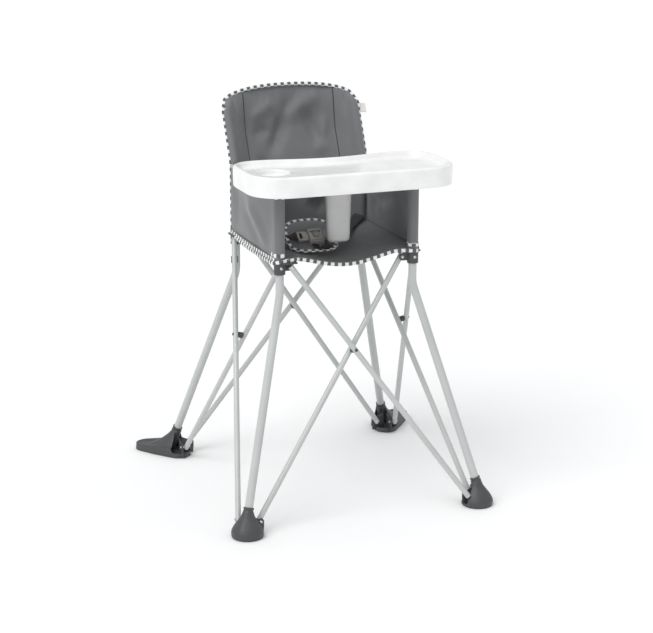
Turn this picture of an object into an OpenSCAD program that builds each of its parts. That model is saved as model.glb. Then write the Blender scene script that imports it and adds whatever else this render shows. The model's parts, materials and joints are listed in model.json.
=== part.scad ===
// Folding baby high chair: four bent legs, four sliding hubs, four scissor pairs of cross tubes,
// a sling seat with side and back panels, a waist harness and a lift-off tray with a centre post.
// Millimetres, +Z up, the child faces -Y, the floor is z = 0.

/* [Legs] */
// Half the distance between two leg axes at seat height
hub_half = 161.5; // [150:0.5:175]
// Half the distance between two leg axes at the feet
foot_half = 282.5; // [265:0.5:300]
// Outer diameter of a leg tube
leg_d = 19; // [16:0.5:22]
// Wall of a leg tube
leg_wall = 1.5; // [1:0.1:2.5]
// Height where the front legs bend outwards
front_bend_z = 517; // [490:1:540]
// Height where the rear legs bend outwards
rear_bend_z = 496; // [480:1:530]
// How much further back the rear legs land
rear_splay = 31.5; // [0:0.5:45]
// Height of the front leg tops, under the tray
front_leg_top = 765; // [756:1:766]
// Height where the rear legs lean back, above the seat's sides
back_bend_z = 757; // [752:1:770]
// Lean of the rear legs' tops and of the back panel
back_lean = 25.6; // [15:0.2:30]
// Height of the rear leg tops, inside the back panel
rear_leg_top = 882; // [850:1:890]
// Centre line radius of the leg bends
bend_r = 70; // [50:1:90]
// Centre line radius of the rear legs' upper bends
back_bend_r = 36; // [30:1:45]

/* [Cross tubes] */
// Outer diameter of a cross tube
tube_d = 13; // [11:0.5:14]
// Wall of a cross tube
tube_wall = 1.2; // [0.8:0.1:2]
// Height of the upper pivots
hub_z = 580; // [560:1:600]
// Height of the lower pivots
foot_z = 30; // [28:1:34]
// Distance from a leg axis to the upper pivot
hub_pivot = 25; // [22:0.5:30]
// Distance from a leg axis to the lower pivot
foot_pivot = 31; // [28:0.5:36]
// Distance of a cross tube's axis from the plane midway between the pair
tube_side = 12; // [11.5:0.5:14]

/* [Hubs and feet] */
// Radius of a hub barrel
barrel_r = 13; // [12.5:0.5:16]
// Height of a hub barrel
barrel_h = 30; // [26:1:34]
// Thickness of the hub and foot ears
ear_t = 2.6; // [2.4:0.1:3.4]
// Radius of a front foot
foot_r = 37; // [34:1:42]
// Length of a rear foot's tail, from its pivot corner
tail_len = 107.4; // [90:0.1:120]
// Rivet shank diameter
rivet_d = 4; // [3:0.5:5]

/* [Tray] */
// Width of the tray
tray_w = 478; // [440:1:500]
// Depth of the tray, front to back
tray_depth = 230; // [210:1:260]
// Height of the tray's rim above the floor
tray_top_z = 800; // [798:1:806]
// Height of the tray's skirt
tray_h = 46; // [38:1:50]
// Distance of the tray's front edge from the middle of the leg square
tray_front = 249; // [240:1:260]
// Radius of the tray's corners
tray_corner = 62; // [50:1:80]
// Radius of the cup recess
cup_r = 39; // [34:1:42]
// Depth of the cup recess below the tray's deck
cup_depth = 12; // [8:1:13]

/* [Fabric] */
// Height where the side and back panels start
panel_z = 600; // [598:1:606]
// Height of the side panels' top edge
side_top_z = 750; // [740:1:752]
// Height of the back panel's top edge
back_top_z = 930; // [915:1:940]
// Sag of the seat sling at its middle
seat_sag = 24; // [20:1:36]
// Thickness of the fabric panels
fabric_t = 2.5; // [1.5:0.1:3]

/* [Harness] */
// Width of the harness webbing
web_w = 24; // [20:1:26]
// Sideways place of the crotch pad
pad_x = -52; // [-60:1:-50]
// Lean of the crotch pad from the vertical
pad_lean = 50; // [38:1:55]

/* [Hidden] */

$fn = 48;
fabric_col = [0.40, 0.41, 0.43];
tube_col = [0.83, 0.84, 0.84];
plastic_col = [0.27, 0.28, 0.29];
steel_col = [0.72, 0.72, 0.74];
buckle_col = [0.58, 0.57, 0.55];

front_reach = foot_half + foot_r;
tail_dir = 49;                      // heading of a rear foot's tail, from the X axis
tail_tip_r = 19.5;
tail_t = 12;                        // thickness of the tail
tail_side = tail_tip_r - 0.8;           // half width of its straight part where its round end starts
gusset_dir = atan2(tail_len * sin(tail_dir) - rear_splay, tail_len * cos(tail_dir));
gusset_run = 58;                        // length of the gusset from the leg's axis
rear_reach = foot_half + tail_len * sin(tail_dir) + tail_tip_r;
centre_shift = (rear_reach - front_reach) / 2;
leg_r = leg_d / 2;
back_top_len = (rear_leg_top - back_bend_z) / cos(back_lean);
tube_r = tube_d / 2;
top_half = hub_half - hub_pivot;    // upper pivots from the middle of a side
low_half = foot_half - foot_pivot;  // lower pivots from the middle of a side
side_run = foot_half - hub_half;    // how far a scissor plane leans out
side_rise = hub_z - foot_z;
side_lean = atan(side_run / side_rise);
plane_len = sqrt(side_run * side_run + side_rise * side_rise);
tube_len = sqrt(pow(top_half + low_half, 2) + pow(plane_len, 2));
upper_share = top_half / (top_half + low_half);
tube_end = 4.8;                     // tube past its pivots
foot_leg_z = 45;                    // height at which the leg axis stands over the foot's centre
leg_end_z = 16;
base_t = 6.8;                       // thickness of a foot's base, low enough to clear the tubes' ends
tail_root_t = base_t - 0.4;            // thickness of the tail's root, just under the base's top face
barrel_bore = leg_r + 0.5;
hub_ear_r = 8.5;
flange_z = hub_z + 10;
flange_t = 3.5;
socket_gap = 0.1;
rivet_r = rivet_d / 2;
head_r = 3.8;
head_gap = 1;                       // the tubes slant past their rivets, so the heads stand off a little
sleeve_in = leg_r + 1;
sleeve_out = sleeve_in + 2;
seat_half = hub_half + fabric_t / 2;
seat_top = panel_z - 0.2;
trough_half = 120;                  // the sling is flat over the hubs and sags between them
seat_r = (trough_half * trough_half + seat_sag * seat_sag) / (2 * seat_sag);
deck_z = tray_top_z - 10;
deck_t = 4;
skirt_t = 3;
rim_w = 15;
belly_depth = 24;
belly_r = 330;
cup_x = -165;
cup_under_z = deck_z - cup_depth - deck_t;
post_bottom_z = 614;
post_y = -105;
pad_w = 114;
pad_h = 100;
pad_t = 5;
pad_z = 626;
pad_y = -67;
buckle_shift = [5, 0, -9];           // buckle on its pad, across and down its slope

// ---- placing -------------------------------------------------------------

// Puts the middle of the leg square where the whole chair's footprint is centred on the origin.
module chair() translate([0, -centre_shift, 0]) children();

// Corner i of the leg square: 0 front left, 1 front right, 2 rear right, 3 rear left. In a corner's own
// frame +X runs along its own side towards the next corner, and +Y along the side before it.
module hub_corner(i) chair() rotate([0, 0, 90 * i]) translate([-hub_half, -hub_half, 0]) children();
module foot_corner(i) chair() rotate([0, 0, 90 * i]) translate([-foot_half, -foot_half, 0]) children();
module side(i) chair() rotate([0, 0, 90 * i]) children();

module along(from, to) {
    d = to - from;
    translate(from) rotate([0, acos(d.z / norm(d)), atan2(d.y, d.x)]) children();
}

// ---- legs ----------------------------------------------------------------

function is_rear(i) = i >= 2;
function bend_z(i) = is_rear(i) ? rear_bend_z : front_bend_z;
function leg_run_x() = foot_half - hub_half;
function leg_run_y(i) = foot_half - hub_half + (is_rear(i) ? rear_splay : 0);
function leg_run(i) = norm([leg_run_x(), leg_run_y(i)]);
function leg_lean(i) = atan(leg_run(i) / (bend_z(i) - foot_leg_z));
function leg_heading(i) = atan2(leg_run_y(i), leg_run_x());
function leg_top(i) = is_rear(i) ? back_bend_z - back_bend_r * tan(back_lean / 2) : front_leg_top;

// Turns a shape drawn in the XZ plane, +X outwards, into the leg's own splay plane at corner i.
module leg_plane(i) {
    sx = (i == 1 || i == 2) ? 1 : -1;
    sy = is_rear(i) ? 1 : -1;
    chair() translate([sx * hub_half, sy * hub_half, 0])
        rotate([0, 0, atan2(sy * leg_run_y(i), sx * leg_run_x())]) children();
}

// A bend in the XZ plane that starts at the origin upwards or downwards and turns towards +X. It is drawn in
// by a hair, as bent tube is, and runs a little way inside the straight lengths at its ends.
module bend(path_r, angle, r, up) translate([path_r, 0, 0]) rotate([90, 0, 0])
    rotate([0, 0, up ? 178 - angle : 178]) rotate_extrude(angle = angle + 4) translate([path_r, 0]) circle(r = r - 0.1);

module leg_path(i, r) {
    lean = leg_lean(i);
    t = bend_r * tan(lean / 2);
    translate([0, 0, bend_z(i) + t]) cylinder(r = r, h = leg_top(i) - bend_z(i) - t);
    translate([0, 0, bend_z(i) + t]) bend(bend_r, lean, r, false);
    low_len = (bend_z(i) - leg_end_z) / cos(lean);
    translate([0, 0, bend_z(i)]) rotate([0, 180 - lean, 0]) translate([0, 0, t]) cylinder(r = r, h = low_len - t);
}

// Puts a shape at a rear leg's upper bend and leans it back with the leg's top.
module back_post_frame(i) chair() translate([(i == 2 ? 1 : -1) * hub_half, hub_half, back_bend_z])
    rotate([-back_lean, 0, 0]) children();

// The whole run of a leg, as a solid of radius r.
module leg_run_solid(i, r) {
    leg_plane(i) leg_path(i, r);
    if (is_rear(i)) {
        t = back_bend_r * tan(back_lean / 2);
        chair() translate([(i == 2 ? 1 : -1) * hub_half, hub_half, back_bend_z - t]) rotate([0, 0, 90])
            bend(back_bend_r, back_lean, r, true);
        back_post_frame(i) translate([0, 0, t]) cylinder(r = r, h = back_top_len - t);
    }
}

module leg(i) {
    color(tube_col) difference() {
        leg_run_solid(i, leg_r);
        leg_run_solid(i, leg_r - leg_wall);
    }
}

module cap() {
    cylinder(r = leg_r, h = 3);
    translate([0, 0, -12]) cylinder(r = leg_r - leg_wall - socket_gap, h = 12.5);
}

module leg_cap(i) color(plastic_col) {
    if (is_rear(i)) back_post_frame(i) translate([0, 0, back_top_len]) cap();
    else leg_plane(i) translate([0, 0, leg_top(i)]) cap();
}

// ---- hubs ----------------------------------------------------------------

// An ear stands in the plane midway between its side's two tubes, with the pivot hole along Y.
module hub_ear() {
    difference() {
        union() {
            translate([hub_pivot, 0, hub_z]) rotate([90, 0, 0]) cylinder(r = hub_ear_r, h = ear_t, center = true);
            translate([0, -ear_t / 2, hub_z - hub_ear_r]) cube([hub_pivot, ear_t, hub_ear_r + flange_z - hub_z]);
        }
        translate([hub_pivot, 0, hub_z]) rotate([90, 0, 0])
            cylinder(r = rivet_r + socket_gap, h = 4 * ear_t, center = true);
    }
}

// A flange roofs the tube's end on one side of its ear.
module hub_flange(outer) {
    reach = hub_pivot + 11;
    w = tube_side + tube_r + 1;
    translate([0, outer ? -w : 0, flange_z]) cube([reach, w, flange_t]);
    translate([0, -ear_t / 2, flange_z]) cube([reach, ear_t, flange_t]);
}

module hub(i) {
    color(plastic_col) difference() {
        hub_corner(i) union() {
            translate([0, 0, hub_z - barrel_h / 2]) cylinder(r = barrel_r, h = barrel_h);
            hub_ear();
            mirror([1, -1, 0]) hub_ear();
            hub_flange(true);
            mirror([1, -1, 0]) hub_flange(false);
        }
        hub_corner(i) translate([0, 0, hub_z - barrel_h]) cylinder(r = barrel_bore, h = 2 * barrel_h);
        hub_screw_place(i) translate([0, 0, -2.2]) cylinder(r = 1.8, h = 5);
    }
}

// The hub's screw enters the barrel from the front on front hubs and from the back on rear hubs.
module hub_screw_place(i) {
    sx = (i == 1 || i == 2) ? 1 : -1;
    sy = is_rear(i) ? 1 : -1;
    chair() translate([sx * hub_half, sy * (hub_half + barrel_r), hub_z]) rotate([-sy * 90, 0, 0]) children();
}

module domed_head(r, h) {
    intersection() {
        translate([0, 0, h - r * 1.3]) sphere(r = r * 1.3);
        cylinder(r = r, h = h);
    }
}

// A pivot rivet along -Y from the ear's far face to the tube's far face; side = 1 is the outer tube.
module pivot_rivet(side, ear_gap) {
    far = tube_side + tube_r + head_gap;
    near = ear_t / 2 + ear_gap;
    rotate([side > 0 ? 90 : -90, 0, 0]) {
        translate([0, 0, -near]) cylinder(r = rivet_r, h = near + far);
        translate([0, 0, far]) domed_head(head_r, 1.8);
        translate([0, 0, -near]) mirror([0, 0, 1]) domed_head(head_r, 1.8);
    }
}

module hub_fasteners(i) {
    color(steel_col) {
        hub_corner(i) translate([hub_pivot, 0, hub_z]) pivot_rivet(1, 0.2);
        hub_corner(i) mirror([1, -1, 0]) translate([hub_pivot, 0, hub_z]) pivot_rivet(-1, 0.2);
        hub_screw_place(i) difference() {
            union() {
                translate([0, 0, -2]) cylinder(r = 1.7, h = 2.5);
                translate([0, 0, 0.2]) domed_head(3.4, 1.8);
            }
            for (a = [0, 90]) rotate([0, 0, a]) translate([-2, -0.4, 1]) cube([4, 0.8, 3]);
        }
    }
}

// ---- cross tubes ---------------------------------------------------------

// Side frame: the scissor pair of the front. s = 1 is the outer tube, from the left hub to the right
// foot; s = -1 is the inner tube, from the right hub to the left foot.
function tube_top(s) = [-s * top_half, -hub_half - s * tube_side, hub_z];
function tube_low(s) = [s * low_half, -foot_half - s * tube_side, foot_z];
function tube_cross(s) = tube_top(s) + (tube_low(s) - tube_top(s)) * upper_share;

module cross_tube(i, s) {
    color(tube_col) side(i) difference() {
        along(tube_top(s), tube_low(s)) translate([0, 0, -tube_end]) cylinder(r = tube_r, h = tube_len + 2 * tube_end);
        along(tube_top(s), tube_low(s)) translate([0, 0, -2 * tube_end])
            cylinder(r = tube_r - tube_wall, h = tube_len + 4 * tube_end);
        for (p = [tube_top(s), tube_low(s)]) translate(p) rotate([90, 0, 0])
            cylinder(r = rivet_r + socket_gap, h = 30, center = true);
        if (s > 0) translate(tube_cross(s)) rotate([90 - side_lean, 0, 0])
            cylinder(r = rivet_r + socket_gap, h = 30, center = true);
    }
}

// The crossing's pin and spacer ride on the outer tube and stop short of the inner one.
module crossing_pin() {
    gap = 2 * tube_side * cos(side_lean) - tube_d;
    translate(tube_cross(1)) rotate([90 - side_lean, 0, 0]) {
        translate([0, 0, -tube_r - gap + 0.4]) cylinder(r = rivet_r, h = tube_d + gap);
        translate([0, 0, tube_r + 0.2]) domed_head(head_r, 1.8);
    }
}
module crossing_spacer() {
    gap = 2 * tube_side * cos(side_lean) - tube_d;
    translate(tube_cross(1)) rotate([90 - side_lean, 0, 0]) translate([0, 0, -tube_r - gap + 0.4]) difference() {
        cylinder(r = 7, h = gap - 0.6);
        translate([0, 0, -1]) cylinder(r = rivet_r + socket_gap, h = gap + 2);
    }
}

// The lower rivet rides on its tube and runs in a slot of the foot's ear.
module low_rivet(s) translate(tube_low(s)) translate([0, s * tube_side, 0]) pivot_rivet(s, 1.6);

module rivets(i, s) {
    side(i) {
        color(steel_col) low_rivet(s);
        if (s > 0) color(steel_col) crossing_pin();
        if (s > 0) color(plastic_col) crossing_spacer();
    }
}

// Plastic clip riveted round a tube a little below its hub.
module tube_clip(i, s) {
    wrap = tube_r + 1.8;
    u = (tube_low(s) - tube_top(s)) / tube_len;
    at = tube_top(s) + u * 42;
    color(plastic_col) side(i) along(at, at + u) difference() {
        cylinder(r = wrap, h = 16);
        translate([0, 0, -1]) cylinder(r = tube_r + 0.05, h = 18);
        translate([s > 0 ? -20 : 1, -20, -1]) cube([19, 40, 18]);
    }
}

// ---- feet ----------------------------------------------------------------

// Ear of a foot: the slot lets the tube's rivet ride down while the frame folds.
module foot_ear() {
    difference() {
        union() {
            translate([foot_pivot, 0, foot_z]) rotate([90, 0, 0]) cylinder(r = 8, h = ear_t, center = true);
            translate([0, -ear_t / 2, 2]) cube([foot_pivot + 8, ear_t, foot_z - 2]);
            translate([0, -ear_t / 2, 2]) cube([foot_pivot, ear_t, foot_z + 6]);
        }
        translate([foot_pivot - 6.4, -ear_t, foot_z - 15]) cube([9.6, 2 * ear_t, 18]);
    }
}

module foot_base_front() {
    cylinder(r = foot_r, h = 5);
    translate([0, 0, 5]) cylinder(r1 = foot_r, r2 = foot_r - 3, h = base_t - 5);
    // the dome fills the outer side only, clear of the tubes' ends
    intersection() {
        translate([0, 0, base_t - 1]) rotate_extrude() intersection() {
            translate([-6, -2]) circle(r = 38);
            square([40, 40]);
        }
        translate([-50, -50, 0]) cube([62, 62, 60]);
        rotate([0, 0, 45]) translate([-60, -60, 0]) cube([72, 120, 60]);
    }
}

// A rear foot's long flat tail lies outwards on the floor and steadies the back.
module foot_base_rear() {
    cylinder(r = 30, h = base_t);
    // tail, in the mirrored corner frame where -Y is backwards
    translate([0, -rear_splay, 0]) cylinder(r = 26, h = base_t);
    rotate([0, 0, 180 + tail_dir]) {
        linear_extrude(height = tail_t) polygon([[22, -25], [tail_len, -tail_side], [tail_len, tail_side], [22, 25]]);
        linear_extrude(height = tail_root_t) polygon([[0, -27], [23, -26], [23, 26], [0, 27]]);
        translate([tail_len, 0, 0]) cylinder(r = tail_tip_r, h = tail_t);
    }
    // gusset from the leg's socket down to the tail
    translate([0, -rear_splay, 0]) rotate([90, 0, 180 + gusset_dir]) linear_extrude(height = 6, center = true)
        polygon([[8, 4], [gusset_run, 4], [gusset_run, tail_t + 1], [17, 38], [8, 38]]);
}

module foot(i) {
    lean = leg_lean(i);
    color(plastic_col) difference() {
        union() {
            foot_corner(i) foot_ear();
            foot_corner(i) mirror([1, -1, 0]) foot_ear();
            if (is_rear(i)) rear_foot_frame(i) foot_base_rear();
            else foot_corner(i) foot_base_front();
            leg_plane(i) translate([0, 0, bend_z(i)]) rotate([0, 180 - lean, 0])
                translate([0, 0, (bend_z(i) - 61) / cos(lean)]) cylinder(r = 13.5, h = 52);
        }
        leg_plane(i) translate([0, 0, bend_z(i)]) rotate([0, 180 - lean, 0])
            translate([0, 0, (bend_z(i) - 90) / cos(lean)])
                cylinder(r = leg_r + socket_gap, h = (90 - leg_end_z + 1) / cos(lean));
        chair() translate([-600, -600, -50]) cube([1200, 1200, 50]);
    }
}

// Frame of a rear foot's base, with -X and -Y pointing away from the chair's middle.
module rear_foot_frame(i) {
    chair() mirror([i == 2 ? 1 : 0, 0, 0]) translate([-foot_half, foot_half, 0]) mirror([0, 1, 0]) children();
}

// ---- fabric --------------------------------------------------------------

module legs_clear(r) for (sx = [-1, 1], sy = [-1, 1])
    translate([sx * hub_half, sy * hub_half, 400]) cylinder(r = r, h = 600);

module seat_panel() {
    color(fabric_col) chair() difference() {
        translate([0, 0, seat_top - seat_sag + seat_r]) rotate([90, 0, 0])
            linear_extrude(height = 2 * seat_half, center = true) union() {
                intersection() {
                    difference() {
                        circle(r = seat_r + fabric_t, $fn = 96);
                        circle(r = seat_r, $fn = 96);
                    }
                    translate([1 - trough_half, -seat_r - 10]) square([2 * trough_half - 2, seat_sag + 12]);
                }
                for (x = [-seat_half, trough_half - 2]) translate([x, seat_sag - seat_r - fabric_t])
                    square([seat_half - trough_half + 2, fabric_t]);
            }
        legs_clear(leg_r + 1.5);
    }
}

module side_panel(s) {
    run = 2 * (hub_half - sleeve_out);
    color(fabric_col) chair() translate([s * hub_half - fabric_t / 2, -run / 2, panel_z])
        cube([fabric_t, run, side_top_z - panel_z]);
}

module front_sleeve(s) {
    color(fabric_col) chair() translate([s * hub_half, -hub_half, panel_z]) pocket(side_top_z - panel_z);
}

// The back panel stands between the rear legs as far as their upper bends and leans back with their tops.
module back_panel() {
    corner = 34;
    run = hub_half - sleeve_in - 0.5;
    top_run = (back_top_z - back_bend_z) / cos(back_lean);
    edge_run = hub_half + sleeve_in;
    color(fabric_col) {
        chair() translate([-run, hub_half - fabric_t / 2, panel_z]) cube([2 * run, fabric_t, back_bend_z - panel_z + 1]);
        chair() translate([0, hub_half, back_bend_z]) rotate([-back_lean, 0, 0]) {
            translate([-run, -fabric_t / 2, -1]) cube([2 * run, fabric_t, back_top_len - 1]);
            // the panel's crown, over the tops of the legs
            translate([0, fabric_t / 2, 0]) rotate([90, 0, 0]) linear_extrude(height = fabric_t) union() {
                translate([-edge_run, back_top_len + 6]) square([2 * edge_run, top_run - corner - back_top_len - 6]);
                translate([-run, back_top_len - 6]) square([2 * run, 20]);
                translate([-edge_run + corner, top_run - corner - 1]) square([2 * (edge_run - corner), corner + 1]);
                for (x = [-1, 1]) translate([x * (edge_run - corner), top_run - corner]) intersection() {
                    circle(r = corner);
                    translate([-corner, -1]) square([2 * corner, corner + 1]);
                }
            }
        }
        for (i = [2, 3]) {
            leg_plane(i) translate([0, 0, panel_z]) pocket(back_bend_z - 22 - panel_z);
            back_post_frame(i) translate([0, 0, 22]) pocket(back_top_len - 16);
        }
    }
}

// Sewn pocket that holds a leg tube.
module pocket(h) difference() {
    cylinder(r = sleeve_out, h = h);
    translate([0, 0, -1]) cylinder(r = sleeve_in, h = h + 2);
}

// Small blank tag sewn into the back panel's edge.
module side_tag() {
    color([0.93, 0.93, 0.93]) back_post_frame(2) translate([sleeve_out + 0.2, -0.4, 108]) cube([18, 0.8, 24]);
}

// ---- harness -------------------------------------------------------------

// The pad's own frame: X across, Z up its slope, -Y towards the buckle.
module pad_frame() chair() translate([pad_x, pad_y, pad_z]) rotate([-pad_lean, 0, 0]) children();
module buckle_frame() pad_frame() translate(buckle_shift) children();

module crotch_pad() {
    r = 40;
    color(fabric_col) pad_frame() rotate([90, 0, 0]) translate([0, 0, -pad_t]) linear_extrude(height = pad_t) union() {
        translate([-pad_w / 2 + r, -pad_h / 2]) square([pad_w - 2 * r, pad_h]);
        translate([-pad_w / 2, -pad_h / 2 + r]) square([pad_w, pad_h - 2 * r]);
        for (x = [-1, 1], y = [-1, 1]) translate([x * (pad_w / 2 - r), y * (pad_h / 2 - r)]) circle(r = r);
    }
}

module crotch_strap() {
    color([0.08, 0.08, 0.09]) buckle_frame() translate([-web_w / 2, -3.2, -46]) cube([web_w, 1.6, 30]);
}

module buckle_socket() {
    color(buckle_col) buckle_frame() difference() {
        translate([-18, -16, -20]) cube([36, 15.6, 38]);
        // side mouths for the two prongs, the button's well and the strap slot
        translate([-19, -11.6, -8]) cube([38, 6.6, 16]);
        translate([0, -11, 0]) rotate([90, 0, 0]) cylinder(r = 8.3, h = 20);
        translate([-web_w / 2 - 0.5, -3.7, -21]) cube([web_w + 1, 2.6, 6]);
    }
}

module buckle_button() {
    color([0.48, 0.47, 0.46]) buckle_frame() translate([0, -14.2, 0]) rotate([90, 0, 0]) cylinder(r = 8, h = 4.3);
}

module buckle_prong(s) {
    color(buckle_col) buckle_frame() mirror([s < 0 ? 0 : 1, 0, 0]) difference() {
        union() {
            translate([-44, -12.5, -12]) cube([25.6, 8, 24]);
            translate([-20, -11.2, -7]) cube([19.4, 5.8, 14]);
        }
        translate([-40, -20, -8]) cube([6, 20, 16]);
        translate([-30, -20, -8]) cube([5, 20, 16]);
    }
}

// The waist straps run from the prongs to the rear corners of the seat.
function strap_from(s) = [pad_x + buckle_shift.x + s * 62, -52, 628];
function strap_to(s) = [s * 150, 146, 614];
module waist_strap(s) {
    color([0.10, 0.10, 0.11]) chair() along(strap_from(s), strap_to(s)) translate([-web_w / 2, -0.7, 0])
        cube([web_w, 1.4, norm(strap_to(s) - strap_from(s))]);
}

module strap_adjuster(s) {
    color(buckle_col) chair() along(strap_from(s), strap_to(s)) translate([-web_w / 2 - 4, -3, 22]) difference() {
        cube([web_w + 8, 6, 22]);
        translate([3, 1.4, -1]) cube([web_w + 2, 3.2, 24]);
        translate([3, -1, 8]) cube([web_w + 2, 8, 6]);
    }
}

// ---- tray ----------------------------------------------------------------

// The tray's outline, inset by n, with a shallow belly curve in its rear edge.
module tray_outline(n) {
    r = tray_corner - n;
    w = tray_w - 2 * n;
    d = tray_depth - 2 * n;
    translate([0, -tray_front + tray_depth / 2]) difference() {
        union() {
            translate([-w / 2 + r, -d / 2]) square([w - 2 * r, d]);
            translate([-w / 2, -d / 2 + r]) square([w, d - 2 * r]);
            for (x = [-1, 1], y = [-1, 1]) translate([x * (w / 2 - r), y * (d / 2 - r)]) circle(r = r);
        }
        translate([0, tray_depth / 2 + belly_r - belly_depth]) circle(r = belly_r + n, $fn = 160);
    }
}

cup_y = -tray_front + tray_depth / 2 + 4;

module tray_top() {
    color("white") chair() difference() {
        translate([0, 0, tray_top_z - tray_h]) linear_extrude(height = tray_h) tray_outline(0);
        translate([0, 0, deck_z]) linear_extrude(height = 20) tray_outline(rim_w);
        difference() {
            translate([0, 0, tray_top_z - tray_h - 1]) linear_extrude(height = tray_h + 1 - 10 - deck_t)
                tray_outline(skirt_t);
            translate([cup_x, cup_y, cup_under_z]) cylinder(r = cup_r + 3, h = 20);
            for (x = [-1, 1]) translate([x * 20, post_y, deck_z - 24]) cylinder(r = 5, h = 30);
        }
        translate([cup_x, cup_y, deck_z - cup_depth]) cylinder(r = cup_r, h = 40);
        for (x = [-1, 1]) translate([x * 20, post_y, deck_z - 25]) cylinder(r = 1.7, h = 22);
    }
}

// Hollow tapered post that keeps a child from sliding out under the tray.
module post_solid(n) hull() {
    translate([0, post_y, deck_z - deck_t - 0.1]) for (x = [-1, 1]) translate([x * 17, 0, -1])
        cylinder(r = 16 - n, h = 1, $fn = 32);
    for (x = [-1, 1]) translate([x * 12, post_y, post_bottom_z + 12])
        sphere(r = 12 - n, $fn = 32);
}
module tray_post() {
    color([0.78, 0.78, 0.77]) chair() difference() {
        intersection() {
            post_solid(0);
            translate([-60, post_y - 30, post_bottom_z]) cube([120, 60, 200]);
        }
        difference() {
            translate([0, 0, 0.05]) post_solid(2.5);
            translate([-60, post_y - 30, 0]) cube([120, 60, post_bottom_z + 3]);
            // floor that takes the two screws
            translate([-60, post_y - 30, deck_z - 28]) cube([120, 60, 3.8]);
        }
        for (x = [-1, 1]) translate([x * 20, post_y, deck_z - 40]) cylinder(r = 2.1, h = 20);
        // shoulder for the tray's screw bosses
        for (x = [-1, 1]) translate([x * 20, post_y, deck_z - 24.1]) cylinder(r = 5.2, h = 30);
    }
}

module tray_screws() {
    color(steel_col) chair() for (x = [-1, 1]) translate([x * 20, post_y, 0]) {
        translate([0, 0, deck_z - 31]) cylinder(r = 1.6, h = 24);
        translate([0, 0, deck_z - 28.2]) mirror([0, 0, 1]) cylinder(r = 3.2, h = 2);
    }
}

// Half-round cradles under the deck sit over the front legs' caps and open inwards. The left one hangs from
// the cup recess.
module tray_cradles() {
    color([0.9, 0.9, 0.9]) chair() for (s = [-1, 1]) translate([s * hub_half, -hub_half, 0]) {
        roof = s < 0 ? cup_under_z : deck_z - deck_t;
        translate([0, 0, front_leg_top + 3.3]) cylinder(r = 17, h = roof - front_leg_top - 3.3);
        difference() {
            translate([0, 0, front_leg_top - 9]) cylinder(r = 17, h = roof - front_leg_top + 9);
            translate([0, 0, front_leg_top - 10]) cylinder(r = 13, h = 60);
            rotate([0, 0, s < 0 ? 45 : 135]) translate([-2, -30, 700]) cube([60, 60, 200]);
        }
    }
}

seat_panel();
back_panel();
side_panel(-1);  // side_panel_left
side_panel(1);  // side_panel_right
front_sleeve(-1);  // front_sleeve_left
front_sleeve(1);  // front_sleeve_right
side_tag();
crotch_pad();
crotch_strap();
waist_strap(-1);  // waist_strap_left
waist_strap(1);  // waist_strap_right
buckle_socket();
buckle_button();
buckle_prong(-1);  // buckle_prong_left
buckle_prong(1);  // buckle_prong_right
strap_adjuster(-1);  // strap_adjuster_left
strap_adjuster(1);  // strap_adjuster_right
hub(0);  // hub_front_left
hub(1);  // hub_front_right
hub(2);  // hub_rear_right
hub(3);  // hub_rear_left
hub_fasteners(0);  // hub_fasteners_front_left
hub_fasteners(1);  // hub_fasteners_front_right
hub_fasteners(2);  // hub_fasteners_rear_right
hub_fasteners(3);  // hub_fasteners_rear_left
leg(0);  // leg_front_left
leg(1);  // leg_front_right
leg(2);  // leg_rear_right
leg(3);  // leg_rear_left
leg_cap(0);  // leg_cap_front_left
leg_cap(1);  // leg_cap_front_right
leg_cap(2);  // leg_cap_rear_right
leg_cap(3);  // leg_cap_rear_left
foot(0);  // foot_front_left
foot(1);  // foot_front_right
foot(2);  // foot_rear_right
foot(3);  // foot_rear_left
cross_tube(0, 1);  // tube_front_outer
cross_tube(1, 1);  // tube_right_outer
cross_tube(2, 1);  // tube_back_outer
cross_tube(3, 1);  // tube_left_outer
cross_tube(0, -1);  // tube_front_inner
cross_tube(1, -1);  // tube_right_inner
cross_tube(2, -1);  // tube_back_inner
cross_tube(3, -1);  // tube_left_inner
rivets(0, 1);  // rivets_front_outer
rivets(1, 1);  // rivets_right_outer
rivets(2, 1);  // rivets_back_outer
rivets(3, 1);  // rivets_left_outer
rivets(0, -1);  // rivets_front_inner
rivets(1, -1);  // rivets_right_inner
rivets(2, -1);  // rivets_back_inner
rivets(3, -1);  // rivets_left_inner
tube_clip(3, 1);  // tube_clip_left
tube_clip(2, -1);  // tube_clip_back
tray_top();
tray_post();
tray_cradles();
tray_screws();
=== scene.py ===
"""Looks of the folding baby high chair: sewn fabric, gingham binding, moulded tray, feet and harness."""
import json
import math

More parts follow.
